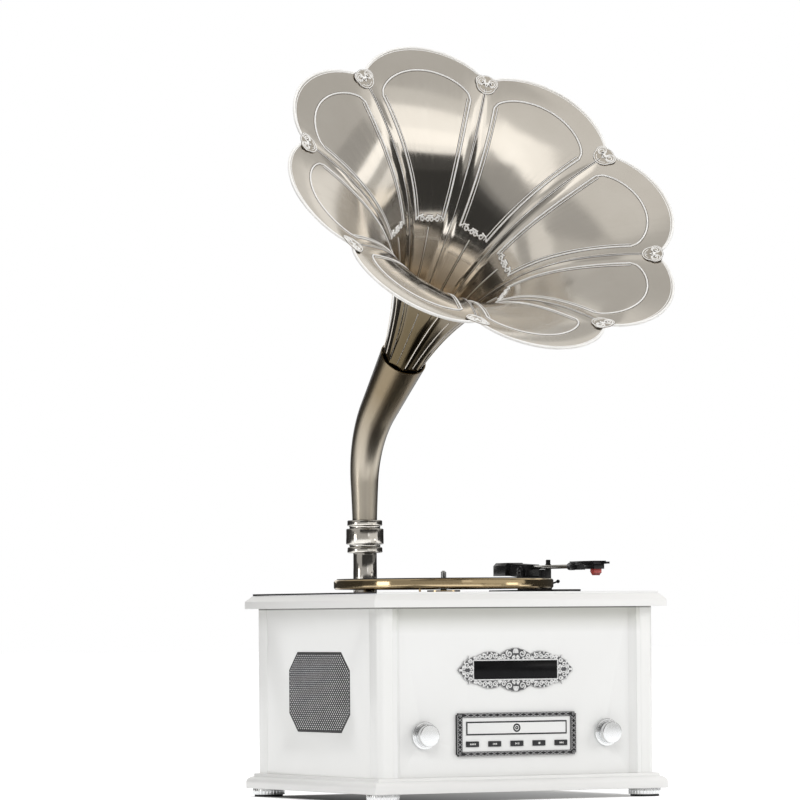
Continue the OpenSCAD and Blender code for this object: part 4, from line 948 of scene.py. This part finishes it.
def petal_point(u, v):
    """The middle of a petal's sheet, u from seam to seam and v from throat to rim."""
    t = depth_of(v)
    r = seam_radius(t)
    a = math.radians(u * (PETAL_HALF - math.degrees(HORN["seam_gap"] / 2 / r)))
    flat = math.cos(math.radians(PETAL_HALF)) / math.cos(a)
    bulge = 0.25 + 0.75 * v ** 4
    scallop = max(0.0, math.cos(math.radians(90 * u))) ** 0.65
    swell = (max(0.0, v - 0.55) / 0.45) ** 1.6 * scallop
    rr = r * (flat + (1 - flat) * bulge) + HORN["rise"] * swell
    return Vector((rr * math.sin(a), rr * math.cos(a), t + HORN["lean"] * swell))


def petal_normal(u, v):
    """The direction out of a petal's inner face."""
    e = 0.01
    across = petal_point(min(1, u + e), v) - petal_point(max(-1, u - e), v)
    along = petal_point(u, min(1, v + e)) - petal_point(u, max(0, v - e))
    return across.cross(along).normalized()


def half_width(v):
    """Half a petal's width in millimetres."""
    return math.radians(PETAL_HALF) * seam_radius(depth_of(v))


RIDGE_W = 8.0
RIDGE_H = 2.4


def ridge(u, v):
    """How far the rounded ridge along a seam raises the sheet."""
    reach = min(RIDGE_W, half_width(v) * 0.45)
    off = (1 - abs(u)) * half_width(v)
    if off >= reach:
        return 0.0
    fade = min(1.0, max(0.0, (0.97 - v) / 0.3)) * min(1.0, v / 0.15)
    return RIDGE_H * fade * math.cos(math.pi / 2 * off / reach) ** 2


def on_petal(u, v):
    """A point of a petal's inner face and the face's normal there."""
    n = petal_normal(u, v)
    return petal_point(u, v) + n * (HORN["sheet"] / 2 + ridge(u, v)), n


def in_place(p, turn):
    """Turns a petal's point about the horn's axis, bows it with the middle line and sets it in its place."""
    a = math.radians(turn)
    share = min(p.z, HORN["length"]) / HORN["length"]
    rise = HORN["bow"] * (1 - (1 - share) ** 2)
    x = p.x * math.cos(a) - p.y * math.sin(a)
    y = p.x * math.sin(a) + p.y * math.cos(a) + rise
    return HORN_FRAME @ Vector((x, y, p.z))


SHEET_ROWS = 44
SHEET_COLS = 30


def petal_sheet():
    """One petal as a thin pressed sheet, closed all round."""
    us = [math.sin(math.pi / 2 * (2 * s - 1)) for s in shares(SHEET_COLS)]
    vs = shares(SHEET_ROWS)
    inner, outer = [], []
    for v in vs:
        for u in us:
            n = petal_normal(u, v)
            p = petal_point(u, v) + n * ridge(u, v)
            inner.append(p + n * HORN["sheet"] / 2)
            outer.append(p - n * HORN["sheet"] / 2)
    cols = SHEET_COLS + 1
    back = len(inner)
    faces = []
    for i in range(SHEET_ROWS):
        for j in range(SHEET_COLS):
            k = i * cols + j
            faces.append((k, k + 1, k + cols + 1, k + cols))
            faces.append((back + k + cols, back + k + cols + 1, back + k + 1, back + k))
    for i in range(SHEET_ROWS):
        k = i * cols
        faces.append((k, k + cols, back + k + cols, back + k))
        k += SHEET_COLS
        faces.append((k + cols, k, back + k, back + k + cols))
    for j in range(SHEET_COLS):
        faces.append((j + 1, j, back + j, back + j + 1))
        k = SHEET_ROWS * cols + j
        faces.append((k, k + 1, back + k + 1, back + k))
    inner_places = [(u, v) for v in vs for u in us]
    return inner + outer, faces, inner_places + [(u + 2 * OUTER_SHIFT, v) for u, v in inner_places]


OUTLINE_LOW_V = 0.455
OUTLINE_CORNER_V = 0.86
OUTLINE_TOP_V = 0.912
OUTLINE_CORNER_U = 0.80
OUTLINE_LOW_U = 0.64
OUTLINE_GAP = 4.2
BRACKET_RISE = 0.016
SEAM_LINE = (0.03, 0.95)
MIDDLE_LINE = (0.03, 0.43)


def line_on_petal(path):
    """A path of (u, v) as points and normals on the petal's inner face."""
    placed = [on_petal(u, v) for u, v in path]
    return [p for p, n in placed], [n for p, n in placed]


def outline_side(hand, inset=0.0, steps=28):
    """One side of the embossed outline, from the bracket up to the corner."""
    path = []
    for s in shares(steps):
        v = OUTLINE_LOW_V + (OUTLINE_CORNER_V - OUTLINE_LOW_V) * s
        u = OUTLINE_LOW_U + (OUTLINE_CORNER_U - OUTLINE_LOW_U) * s
        path.append((hand * (u - inset / half_width(v)), v))
    return path


def outline_arch(steps=36):
    """The arch over the embossed outline, from corner to corner."""
    path = []
    for s in shares(steps):
        u = OUTLINE_CORNER_U * (2 * s - 1)
        rise = (1 - (u / OUTLINE_CORNER_U) ** 2) ** 0.5
        path.append((u, OUTLINE_CORNER_V + (OUTLINE_TOP_V - OUTLINE_CORNER_V) * rise))
    return path


CURL_STRETCH = 1.1


def curl(centre_u, centre_v, size, hand, start):
    """A spiral on the petal; size in millimetres."""
    path = []
    for across, along in spiral(size, 0.25, hand, start, 1.2, 20):
        v = centre_v + along / HORN["length"] * CURL_STRETCH
        path.append((centre_u + across / half_width(v), v))
    return path


def bracket(hand):
    """Half of the three-curled bracket at the outline's foot."""
    path = []
    for s in shares(16):
        u = OUTLINE_LOW_U * (1 - s)
        v = OUTLINE_LOW_V + BRACKET_RISE * abs(math.sin(math.pi * 1.5 * s))
        path.append((hand * u, v))
    return path


RIM_R = 1.7
LINE_HALF = 1.25
LINE_RISE = 1.5
SHADE_MORE = 0.6


def petal_lines():
    """The embossed lines of one petal, and the dark beads of painted shade on both sides of them."""
    lines, seats = Shell(), Shell()

    def draw(path, half=LINE_HALF, rise=LINE_RISE, seat=SHADE_MORE):
        points, normals = line_on_petal(path)
        places = [place for place in path for i in range(BEAD_STEPS + 1)]
        lines.add(*bead(points, normals, half, rise), places)
        if seat:
            # A wider, low dark bead under the line: painted shade on both sides of it
            seats.add(*bead(points, normals, half + seat, 0.4), places)

    for hand in (-1, 1):
        draw(outline_side(hand))
        draw(outline_side(hand, OUTLINE_GAP), 0.7, 0.8, 0.6)
        draw(bracket(hand), 1.1, 1.5)
        draw(curl(hand * 0.34, OUTLINE_LOW_V + 0.006, 3.6, -hand, 90 + hand * 20), 1.1, 1.8)
        draw(curl(hand * 0.10, OUTLINE_LOW_V + 0.004, 3.2, hand, 90 - hand * 20), 1.1, 1.8)
        seam = [SEAM_LINE[0] + (SEAM_LINE[1] - SEAM_LINE[0]) * s for s in shares(40)]
        draw([(hand * (1 - 0.5 / half_width(v)), v) for v in seam], 0.5, 0.5, 0.5)
    draw(outline_arch())
    draw([(0.0, MIDDLE_LINE[1] - (MIDDLE_LINE[1] - MIDDLE_LINE[0]) * s) for s in shares(20)], 1.0, 1.2, 0.7)
    rim = [(2 * s - 1, 1.0) for s in shares(48)]
    placed = [on_petal(u * 0.999, v) for u, v in rim]
    places = [place for place in rim for i in range(BEAD_STEPS + 1)]
    for depth, side in ((0.3, 1), (0.9, -1)):
        edge, normals = [p - n * depth for p, n in placed], [n * side for p, n in placed]
        lines.add(*bead(edge, normals, RIM_R, RIM_R), places)
    draw([(u * 0.985, 1 - 3.6 / HORN["length"]) for u, v in rim], 0.5, 0.3, 0.0)
    return lines, seats


def build_petals():
    sheet_points, sheet_faces, sheet_places = petal_sheet()
    lines, seats = petal_lines()
    sheets, lined, line_shade_shell = Shell(), Shell(), Shell()
    for k in range(PETALS):
        turn = k * 360 / PETALS
        places = [(k + (u + 1) / 2, v) for u, v in sheet_places]
        sheets.add([in_place(p, turn) for p in sheet_points], sheet_faces, places)
        lined.add([in_place(p, turn) for p in lines.points], lines.faces, lines.places)
        line_shade_shell.add([in_place(p, turn) for p in seats.points], seats.faces)
    # The third shell holds the dark beads of painted shade beside the lines
    for shell, name, finish in ((sheets, "petals", PETALS_FINISH), (lined, "petal_lines", LINES_FINISH),
                                (line_shade_shell, "petal_line_shade", FINISHES["dark_nickel"])):
        piece = shell.piece(name)
        smooth(piece, 50)
        dress(piece, "horn_petals", finish, stands=name == "petals")


ELBOW = {
    "d": 33.5, "rise": 52.0, "r": 132.0, "end": 97.4, "tilt": 43.5, "mouth_d": 64.0, "wall": 1.5,
    "swell": 1.25,
}
ELBOW_TURN = math.radians(90 - ELBOW["tilt"])
ELBOW_FOOT = Vector((-52.0, 152.5, 370.3))


def elbow_place(s):
    """A point of the elbow's middle line and its lean, s along it from the foot."""
    if s < ELBOW["rise"]:
        return ELBOW_FOOT + Vector((0, 0, s)), 0.0
    a = min(ELBOW_TURN, (s - ELBOW["rise"]) / ELBOW["r"])
    rest = s - ELBOW["rise"] - a * ELBOW["r"]
    forward = ELBOW["r"] * (1 - math.cos(a)) + rest * math.sin(a)
    up = ELBOW["rise"] + ELBOW["r"] * math.sin(a) + rest * math.cos(a)
    return ELBOW_FOOT + Vector((0, -forward, up)), a


def build_elbow(rows=72, sides=64):
    length = ELBOW["rise"] + ELBOW["r"] * ELBOW_TURN + ELBOW["end"]
    sections = []
    for wall, order in ((0.0, range(rows + 1)), (ELBOW["wall"], range(rows, -1, -1))):
        for i in order:
            s = length * i / rows
            centre, a = elbow_place(s)
            r = ELBOW["d"] / 2 + (ELBOW["mouth_d"] - ELBOW["d"]) / 2 * (i / rows) ** ELBOW["swell"] - wall
            across, up = Vector((1, 0, 0)), Vector((0, math.cos(a), math.sin(a)))
            ring = angles_round(sides)
            sections.append([centre + across * (r * math.cos(t)) + up * (r * math.sin(t)) for t in ring])
    tube = Shell()
    places = [(j / sides, i / rows) for i in range(2 * rows + 2) for j in range(sides)]
    tube.add(*swept(sections, closed=True), places)
    piece = tube.piece("elbow_tube")
    smooth(piece, 40)
    dress(piece, "elbow", TUBE_FINISH)


MEDALLION_T = 0.5
EAR = Vector((3.4, 8.0, 0))
EAR_R = 8.4
BOWL_R = 14.2
BOWL_X = -0.6
SMILE_R = 10.0
WHORL_TURNS = 2.0


def medallion_edge(a, inset=0.0):
    """A point of the badge's outline: a bowl with two round ears on its outer side."""
    way = Vector((math.cos(a), math.sin(a), 0))
    reach = 0
    for centre, r in ((Vector((BOWL_X, 0, 0)), BOWL_R), (EAR, EAR_R), (Vector((EAR.x, -EAR.y, 0)), EAR_R)):
        along, off = centre.dot(way), centre.cross(way).length
        if off < r:
            reach = max(reach, along + math.sqrt(r * r - off * off))
    return way * (reach - inset)


def whorl(size, steps=34):
    """A flat spiral in its own plane; its first half turn keeps to the ear's edge."""
    path = []
    for s in shares(steps):
        r = size * (1 - 0.85 * max(0, s - 0.3) / 0.7)
        a = -0.6 * math.pi + 2 * math.pi * WHORL_TURNS * s
        path.append(Vector((r * math.sin(a), r * math.cos(a), 0)))
    return path


def medallion_disc(sides=64):
    """The badge's flat ground with a bevelled edge."""
    rows = []
    for a in angles_round(sides):
        rows.append([medallion_edge(a, inset) + Vector((0, 0, z)) for inset, z in
                     ((10, -0.6), (0.2, -0.6), (0, -0.2), (0.5, MEDALLION_T), (10, MEDALLION_T))])
    return swept(rows, closed=True)


def medallion_scrolls(more=0.0, rise=1.2):
    """The badge's raised lines: its edge, two spirals, a beak between them and a curved line below."""
    shell = Shell()

    def draw(path, half, height, closed=False):
        line = [p + Vector((0, 0, MEDALLION_T - BEAD_ROOT)) for p in path]
        shell.add(*bead(line, [Vector((0, 0, 1))] * len(line), half + more, height, closed))

    draw([medallion_edge(a, 1.0) for a in angles_round(64)], 0.7, rise * 0.8, True)
    angles = [a / 10 for a in range(-10, 11)]
    smile = [Vector((BOWL_X - SMILE_R * math.cos(a), SMILE_R * math.sin(a), 0)) for a in angles]
    draw(smile, 0.55, rise * 0.8)
    for side in (-1, 1):
        centre = Vector((EAR.x, side * (EAR.y - 0.6), 0))
        draw([Vector((p.x, p.y * side, 0)) + centre for p in whorl(EAR_R - 2.6)], 0.8, rise)
        beak = [Vector((1.5 - 6 * s, side * 2.6 * (1 - s), 0)) for s in shares(5)]
        draw(beak, 0.65, rise * 0.8)
    return shell


def build_medallions():
    slope = seam_radius(HORN["length"]) - seam_radius(HORN["length"] - 1)
    disc_points, disc_faces = medallion_disc()
    scrolls = medallion_scrolls()
    # Low, wider dark beads under the scrolls: painted shade beside them
    seats = medallion_scrolls(0.4, 0.42)
    discs, raised, scroll_shade_shell = Shell(), Shell(), Shell()
    for k in range(PETALS):
        place = (
            HORN_FRAME
            @ Matrix.Translation((0, HORN["bow"], 0))
            @ Matrix.Rotation(math.radians(PETAL_HALF + k * 360 / PETALS), 4, "Z")
            @ Matrix.Translation((HORN["notch_r"] + 0.5, 0, HORN["length"] + 0.5))
            @ Matrix.Rotation(-math.atan(1 / slope), 4, "Y")
            @ Matrix.Translation((0, 0, -0.1))
        )
        discs.add([place @ p for p in disc_points], disc_faces)
        raised.add([place @ p for p in scrolls.points], scrolls.faces)
        scroll_shade_shell.add([place @ p for p in seats.points], seats.faces)
    for shell, name, finish in ((discs, "medallions", None), (raised, "medallion_scrolls", LINES_FINISH),
                                (scroll_shade_shell, "medallion_scroll_shade", FINISHES["dark_nickel"])):
        finished(shell, name, "horn_medallions", finish, stands=name == "medallions")


def build_neck_lines():
    """Light lines that run down the outside of the horn's throat, on the seams and between them."""
    lines = Shell()
    for k in range(2 * PETALS):
        u, last = (0.0, 0.30) if k % 2 == 0 else (0.97, 0.62)
        path = [0.02 + (last - 0.02) * s for s in shares(24)]
        placed = []
        for v in path:
            n = petal_normal(u, v)
            placed.append((petal_point(u, v) - n * (HORN["sheet"] / 2 - 0.1), -n))
        petal_turn = (k // 2) * 360 / PETALS
        points = [in_place(p, petal_turn) for p, n in placed]
        tips = [in_place(p + n, petal_turn) for p, n in placed]
        lines.add(*bead(points, [tip - p for p, tip in zip(points, tips)], 0.7, 0.8))
    finished(lines, "throat_lines", "horn_petals", stands=False)


def build_horn():
    build_petals()
    build_neck_lines()
    build_elbow()
    build_medallions()
    rounded_copy("horn_neck", 0.4, material=NECK_FINISH)
    rounded_copy("horn_post", 0.3, material=UPRIGHT_FINISH)
    rounded_copy("horn_collar", 0.35, material=UPRIGHT_FINISH)


# Cabinet

FILLET_BEHIND_POST = 5.2
FILLET_LIP = 0.9


def build_joint_fillets():
    """The lacquer that fills the joint between each front post and the front panel."""
    low, high = (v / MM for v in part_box("front_panel"))
    fillets = Shell()
    for x, inward in ((low.x, 1), (high.x, -1)):
        hidden, lip = x - inward * FILLET_BEHIND_POST, x + inward * FILLET_LIP
        outline = [(hidden, low.y + 0.5), (x + inward * 0.3, low.y - 0.15), (lip, low.y + 0.45),
                   (lip, low.y + 5), (hidden, low.y + 5)]
        rows = [[Vector((px, py, z)) for px, py in outline] for z in (low.z + 0.1, high.z - 0.1)]
        fillets.add(*swept(rows))
    finished(fillets, "joint_fillets", "front_panel", FRONT_FINISH, stands=False, angle=40)


def build_cabinet():
    rounded_copy("base_board", 0.8, 3)
    rounded_copy("top_board", 0.8, 3)
    rounded_copy("corner_posts", 0.8, 3, material=POST_FINISH)
    rounded_copy("front_panel", 0.4, material=FRONT_FINISH)
    for node in ("back_panel", "left_side", "right_side"):
        rounded_copy(node, 0.4, material=SIDE_FINISH)
    build_joint_fillets()
    rounded_copy("deck_plate", 0.4)
    rounded_copy("feet", 0.3)
    rounded_copy("foot_pads", 0.4)


# Nets

DOT_PITCH = 4.0
DOT_R = 1.05
NET_CUT = 24.0
NET_RIM = 1.6
NET_CORNER_RIM = 2.0


def dot_shape(sides=8):
    """A low dome, facing along its third axis."""
    rows = [(DOT_R, 0.0), (DOT_R * 0.72, 0.35)]
    points = []
    for r, h in rows:
        points += [Vector((r * math.cos(a), r * math.sin(a), h)) for a in angles_round(sides)]
    points.append(Vector((0, 0, 0.5)))
    faces = [(i, (i + 1) % sides, sides + (i + 1) % sides, sides + i) for i in range(sides)]
    faces += [(sides + i, sides + (i + 1) % sides, 2 * sides) for i in range(sides)]
    return points, faces


def build_net(node, side):
    """A net with its bright dots; side is 1 on the right and -1 on the left."""
    low, high = (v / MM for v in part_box(node))
    middle = (low + high) / 2
    half_y, half_z = (high.y - low.y) / 2, (high.z - low.z) / 2
    face_x = (high.x if side > 0 else low.x) - side * 0.05
    points, faces = dot_shape()
    dots = Shell()
    step = DOT_PITCH / math.sqrt(2)
    rows, cols = int(half_z / step), int(half_y / step)
    for i in range(-rows, rows + 1):
        for j in range(-cols, cols + 1):
            y, z = j * step, i * step
            inside = abs(y) < half_y - NET_RIM and abs(z) < half_z - NET_RIM
            corner = abs(y) + abs(z) >= half_y + half_z - NET_CUT - NET_CORNER_RIM
            if (i + j) % 2 or corner or not inside:
                continue
            centre = Vector((face_x, middle.y + y, middle.z + z))
            dots.add([centre + Vector((side * p.z, side * p.x, p.y)) for p in points], faces)
    dress(dots.piece(node + "_dots"), node, DOTS, stands=False)
    rounded_copy(node, 0.2, 1)


# Fittings on the front: points are (x, z) from a fitting's middle, heights are measured out of its seat

# The fittings' seats lie this deep behind the front panel's foremost edge
SEAT_DEPTH = 8.5
FRONT_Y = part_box("front_panel")[0].y / MM + SEAT_DEPTH
OUT = Vector((0, -1, 0))


def middle_of(node):
    low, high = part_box(node)
    return (low + high) / 2 / MM


def half_size(node):
    """Half a node's width and height as seen from the front, in millimetres."""
    low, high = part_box(node)
    return (high.x - low.x) / 2 / MM, (high.z - low.z) / 2 / MM


def on_front(middle, x, z, height):
    return Vector((middle.x + x, FRONT_Y - height, middle.z + z))


def ring_plate(middle, outer, inner, low, high, edge=0.4):
    """A flat frame between two outlines with as many points each, its outer edge rounded."""
    rows = []
    for (ox, oz), (ix, iz) in zip(outer, inner):
        toward = Vector((ix - ox, iz - oz)).normalized() * edge
        rows.append([
            on_front(middle, ox, oz, low),
            on_front(middle, ox, oz, high - edge),
            on_front(middle, ox + toward.x, oz + toward.y, high),
            on_front(middle, ix, iz, high),
            on_front(middle, ix, iz, low),
        ])
    return swept(rows, closed=True)


def box_outline(half_x, half_z, corner=0.0):
    """The outline of a rectangle, anticlockwise from the right, three points to a corner."""
    points = []
    for sx, sz in ((1, -1), (1, 1), (-1, 1), (-1, -1)):
        near, far = (half_x * sx, (half_z - corner) * sz), ((half_x - corner) * sx, half_z * sz)
        middle = ((half_x - corner * 0.85) * sx, (half_z - corner * 0.85) * sz)
        points += [far, middle, near] if sx * sz < 0 else [near, middle, far]
    return points


def carve(shell, middle, path, half, rise, level, closed=False):
    """A raised line on the front."""
    line = [on_front(middle, x, z, level) for x, z in path]
    shell.add(*bead(line, [OUT] * len(line), half, rise, closed))


def scroll(x, z, size, hand, start):
    """A spiral on the front that winds inwards from its start angle in degrees."""
    return [(x + across, z + up) for across, up in spiral(size, 0.22, hand, start, 1.3, 14)]


def leaf(x, z, length, direction, lean, steps=6):
    """A short curved stroke from a point towards a direction in degrees."""
    path = []
    for s in shares(steps):
        a = math.radians(direction + lean * s)
        path.append((x + length * s * math.cos(a), z + length * s * math.sin(a)))
    return path


# One quarter of the surround's edge, from its pointed end to its crest
SURROUND_EDGE = [
    (86.2, 0.0), (80.5, 5.2), (75.5, 11.0), (66.5, 15.8), (57.0, 17.2), (52.0, 20.0),
    (43.0, 23.0), (30.0, 22.8), (23.0, 19.0), (16.0, 23.6), (8.0, 26.6), (0.0, 27.8),
]
# Scrolls of one quarter: x, z, size, hand, start angle
SURROUND_SCROLLS = [
    (73.0, 6.6, 4.0, 1, 200), (68.0, 12.0, 3.2, -1, 20), (77.6, 3.0, 2.7, -1, 100),
    (67.3, 3.1, 2.9, 1, 80), (60.5, 14.9, 2.7, 1, 0), (53.8, 16.2, 3.0, -1, 180),
    (46.5, 18.6, 3.9, 1, 180), (38.6, 18.0, 3.4, -1, 0), (31.2, 18.6, 3.7, 1, 190),
    (24.6, 15.8, 2.6, -1, 0), (18.0, 18.0, 3.7, 1, 200), (9.6, 21.0, 4.6, -1, 60),
    (3.6, 16.2, 2.6, 1, 90),
]
# Leaves of one quarter: x, z, length, direction, lean
SURROUND_LEAVES = [
    (80.0, 0.6, 5.2, 0, 0), (76.0, 8.0, 4.0, 50, 40), (70.5, 14.5, 3.6, 150, -60),
    (57.2, 15.0, 3.0, 80, 40), (50.0, 20.0, 3.2, 120, 60), (42.6, 20.4, 3.4, 90, 0),
    (35.0, 20.6, 3.2, 70, -40), (27.6, 19.4, 3.2, 40, 40), (21.0, 15.0, 3.0, -20, 40),
    (14.2, 21.0, 3.6, 70, 50), (3.0, 21.5, 5.6, 75, 30), (0.8, 21.5, 6.0, 90, 0),
    (13.0, 15.0, 3.2, 160, 40),
]


def mirrored(points, sx, sz):
    return [(x * sx, z * sz) for x, z in points]


SCALLOP = 0.8


def surround_outline(steps=4):
    """The surround's edge with a small scallop between any two of its corners."""
    quarter = []
    for (x0, z0), (x1, z1) in zip(SURROUND_EDGE, SURROUND_EDGE[1:]):
        for s in shares(steps)[:-1]:
            swell = SCALLOP * math.sin(math.pi * s)
            away = Vector((z1 - z0, x0 - x1)).normalized() * swell
            quarter.append((x0 + (x1 - x0) * s + away.x, z0 + (z1 - z0) * s + away.y))
    crest = SURROUND_EDGE[-1]
    top = quarter + [crest] + mirrored(reversed(quarter), -1, 1)
    return top + mirrored(reversed(top[1:-1]), 1, -1)


def toward_window(outline, half_x, half_z):
    """For each point of an outline, the point of a rectangle in its direction."""
    inner = []
    for x, z in outline:
        share = min(half_x / max(abs(x), 0.001), half_z / max(abs(z), 0.001))
        inner.append((x * share, z * share))
    return inner


def build_surround():
    middle = middle_of("display_window")
    half_x, half_z = (half + 0.3 for half in half_size("display_window"))
    shell = Shell()
    outline = surround_outline()
    shell.add(*ring_plate(middle, outline, toward_window(outline, half_x, half_z), 0, 1.2))
    for sx in (-1, 1):
        for sz in (-1, 1):
            for x, z, size, hand, start in SURROUND_SCROLLS:
                carve(shell, middle, mirrored(scroll(x, z, size, hand, start), sx, sz), 1.0, 1.9, 1.1)
            for x, z, length, direction, lean in SURROUND_LEAVES:
                carve(shell, middle, mirrored(leaf(x, z, length, direction, lean), sx, sz), 1.15, 1.6, 1.1)
    carve(shell, middle, box_outline(half_x + 1.1, half_z + 1.1), 1.0, 1.2, 1.1, closed=True)
    carve(shell, middle, outline, 0.55, 0.8, 1.0, closed=True)
    finished(shell, "surround_scrolls", "display_surround")


def build_display():
    build_surround()
    rounded_copy("display_window", 0.4)


# Controls

BEZEL_PITCH = 9.9
BEZEL_FACE = 3.3


def cross(x, z, reach, across):
    """Two strokes that cross and curl at their ends."""
    strokes = []
    for hand in (-1, 1):
        path = []
        for s in shares(8):
            along = 2 * s - 1
            path.append((x + reach * along, z + hand * across * math.sin(along * math.pi * 0.62)))
        strokes.append(path)
    return strokes


def build_bezel():
    middle = middle_of("control_panel")
    half_x, half_z = half_size("control_bezel")
    in_x, in_z = (half + 0.2 for half in half_size("control_panel"))
    side, top = half_x - in_x, half_z - in_z
    shell = Shell()
    outline, opening = box_outline(half_x, half_z, 2.4), box_outline(in_x, in_z, 0.6)
    shell.add(*ring_plate(middle, outline, opening, 0, BEZEL_FACE))
    carve(shell, middle, box_outline(half_x - 0.7, half_z - 0.7, 2.4), 0.45, 0.8, BEZEL_FACE, closed=True)
    carve(shell, middle, box_outline(in_x + 0.7, in_z + 0.7, 0.6), 0.45, 0.8, BEZEL_FACE, closed=True)
    columns = round(2 * (half_x - side) / BEZEL_PITCH)
    rows = round(2 * (half_z - top) / BEZEL_PITCH * 1.6)
    for sign in (-1, 1):
        for i in range(columns):
            x = (i - (columns - 1) / 2) * BEZEL_PITCH
            for path in cross(x, sign * (half_z - top / 2), 4.2, 1.7):
                carve(shell, middle, path, 0.62, 1.4, BEZEL_FACE)
        for i in range(rows):
            z = (i - (rows - 1) / 2) * 2 * in_z / rows
            for path in cross(z, sign * (half_x - side / 2), 2.6, 2.2):
                carve(shell, middle, [(b, a) for a, b in path], 0.62, 1.4, BEZEL_FACE)
        for other in (-1, 1):
            x, z = sign * (half_x - side * 0.52), other * (half_z - top * 0.58)
            carve(shell, middle, scroll(x, z, 2.4, sign * other, 45), 0.5, 1.3, BEZEL_FACE)
    finished(shell, "bezel_carved", "control_bezel")


MARK_ROOT = 0.3
MARK_T = 0.12


def flat_mark(shell, middle, height, outline):
    """A thin flat shape on the front; outline anticlockwise as seen from the front."""
    count = len(outline)
    points = [on_front(middle, x, z, height + d) for d in (-MARK_ROOT, MARK_T) for x, z in outline]
    faces = [tuple(range(count, 2 * count)), tuple(reversed(range(count)))]
    faces += [(i, (i + 1) % count, count + (i + 1) % count, count + i) for i in range(count)]
    shell.add(points, faces)


def bar(x, half_x, half_z):
    return [(x - half_x, -half_z), (x + half_x, -half_z), (x + half_x, half_z), (x - half_x, half_z)]


def arrow(x, size, side):
    """A triangle that points to the right for side 1 and to the left for side -1."""
    tip = (x + side * size * 0.55, 0)
    base = x - side * size * 0.55
    return [tip, (base, side * size * 0.62), (base, -side * size * 0.62)]


KEY_MARKS = {
    "source": [bar(-3.4, 0.8, 1.0), bar(-1.1, 0.8, 1.0), bar(1.1, 0.8, 1.0), bar(3.4, 0.8, 1.0)],
    "previous": [bar(-2.9, 0.35, 1.3), arrow(-1.2, 2.3, -1), arrow(1.3, 2.3, -1)],
    "play": [arrow(-1.6, 2.5, 1), bar(0.9, 0.4, 1.3), bar(2.4, 0.4, 1.3)],
    "stop": [bar(0, 1.3, 1.3)],
    "next": [arrow(-1.3, 2.3, 1), arrow(1.2, 2.3, 1), bar(2.9, 0.35, 1.3)],
}


def build_keys():
    for key, shapes in KEY_MARKS.items():
        node = key + "_button"
        rounded_copy(node, 0.3)
        low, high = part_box(node)
        marks = Shell()
        for outline in shapes:
            flat_mark(marks, (low + high) / 2 / MM, FRONT_Y - low.y / MM, outline)
        dress(marks.piece(key + "_mark"), node, MARKS, stands=False)


def circle(r, steps=32):
    return [(r * math.cos(a), r * math.sin(a)) for a in angles_round(steps)]


def build_tray_marks():
    """The dark line round the drawer's front and a plain disc mark."""
    middle = middle_of("tray_front")
    half_x, half_z = half_size("tray_front")
    face = FRONT_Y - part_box("tray_front")[0].y / MM
    outline, inside = box_outline(half_x, half_z), box_outline(half_x - 1.7, half_z - 1.7)
    line = Shell()
    line.add(*ring_plate(middle, outline, inside, face - 0.4, face + 0.15, 0.1))
    for outer, inner in ((5.6, 3.4), (2.4, 0.8)):
        line.add(*ring_plate(middle, circle(outer), circle(inner), face - 0.4, face + 0.12, 0.05))
    piece = line.piece("tray_lines")
    close_normals(piece)
    dress(piece, "tray_front", LINE, stands=False)


def build_controls():
    build_bezel()
    for node in ("control_panel", "tray_front"):
        rounded_copy(node, 0.2)
    build_keys()
    build_tray_marks()
    rounded_copy("knob_rings", 0.4, 3)
    rounded_copy("volume_knob", 0.5, 3)
    rounded_copy("tuning_knob", 0.5, 3)


# Turntable and tonearm

def build_turntable():
    rounded_copy("platter", 0.5, 3)
    rounded_copy("platter_mat", 0.3)
    rounded_copy("spindle", 0.3)


def build_tonearm():
    for node in ("tonearm_base", "arm_rest", "arm_pivot", "arm_weight",
                 "headshell", "cartridge", "stylus", "cue_lever"):
        rounded_copy(node, 0.4)
    rounded_copy("arm_tube", 0.2)


def dress_the_rest():
    """The CAD nodes whose own shape shows keep it and get their finish."""
    for node, piece in NODES.items():
        piece.data.materials.clear()
        piece.data.materials.append(FINISHES[SLOT[node]])


set_up_studio()
dress_the_rest()
build_cabinet()
build_net("left_grille", -1)
build_net("right_grille", 1)
build_display()
build_controls()
build_turntable()
build_tonearm()
build_horn()
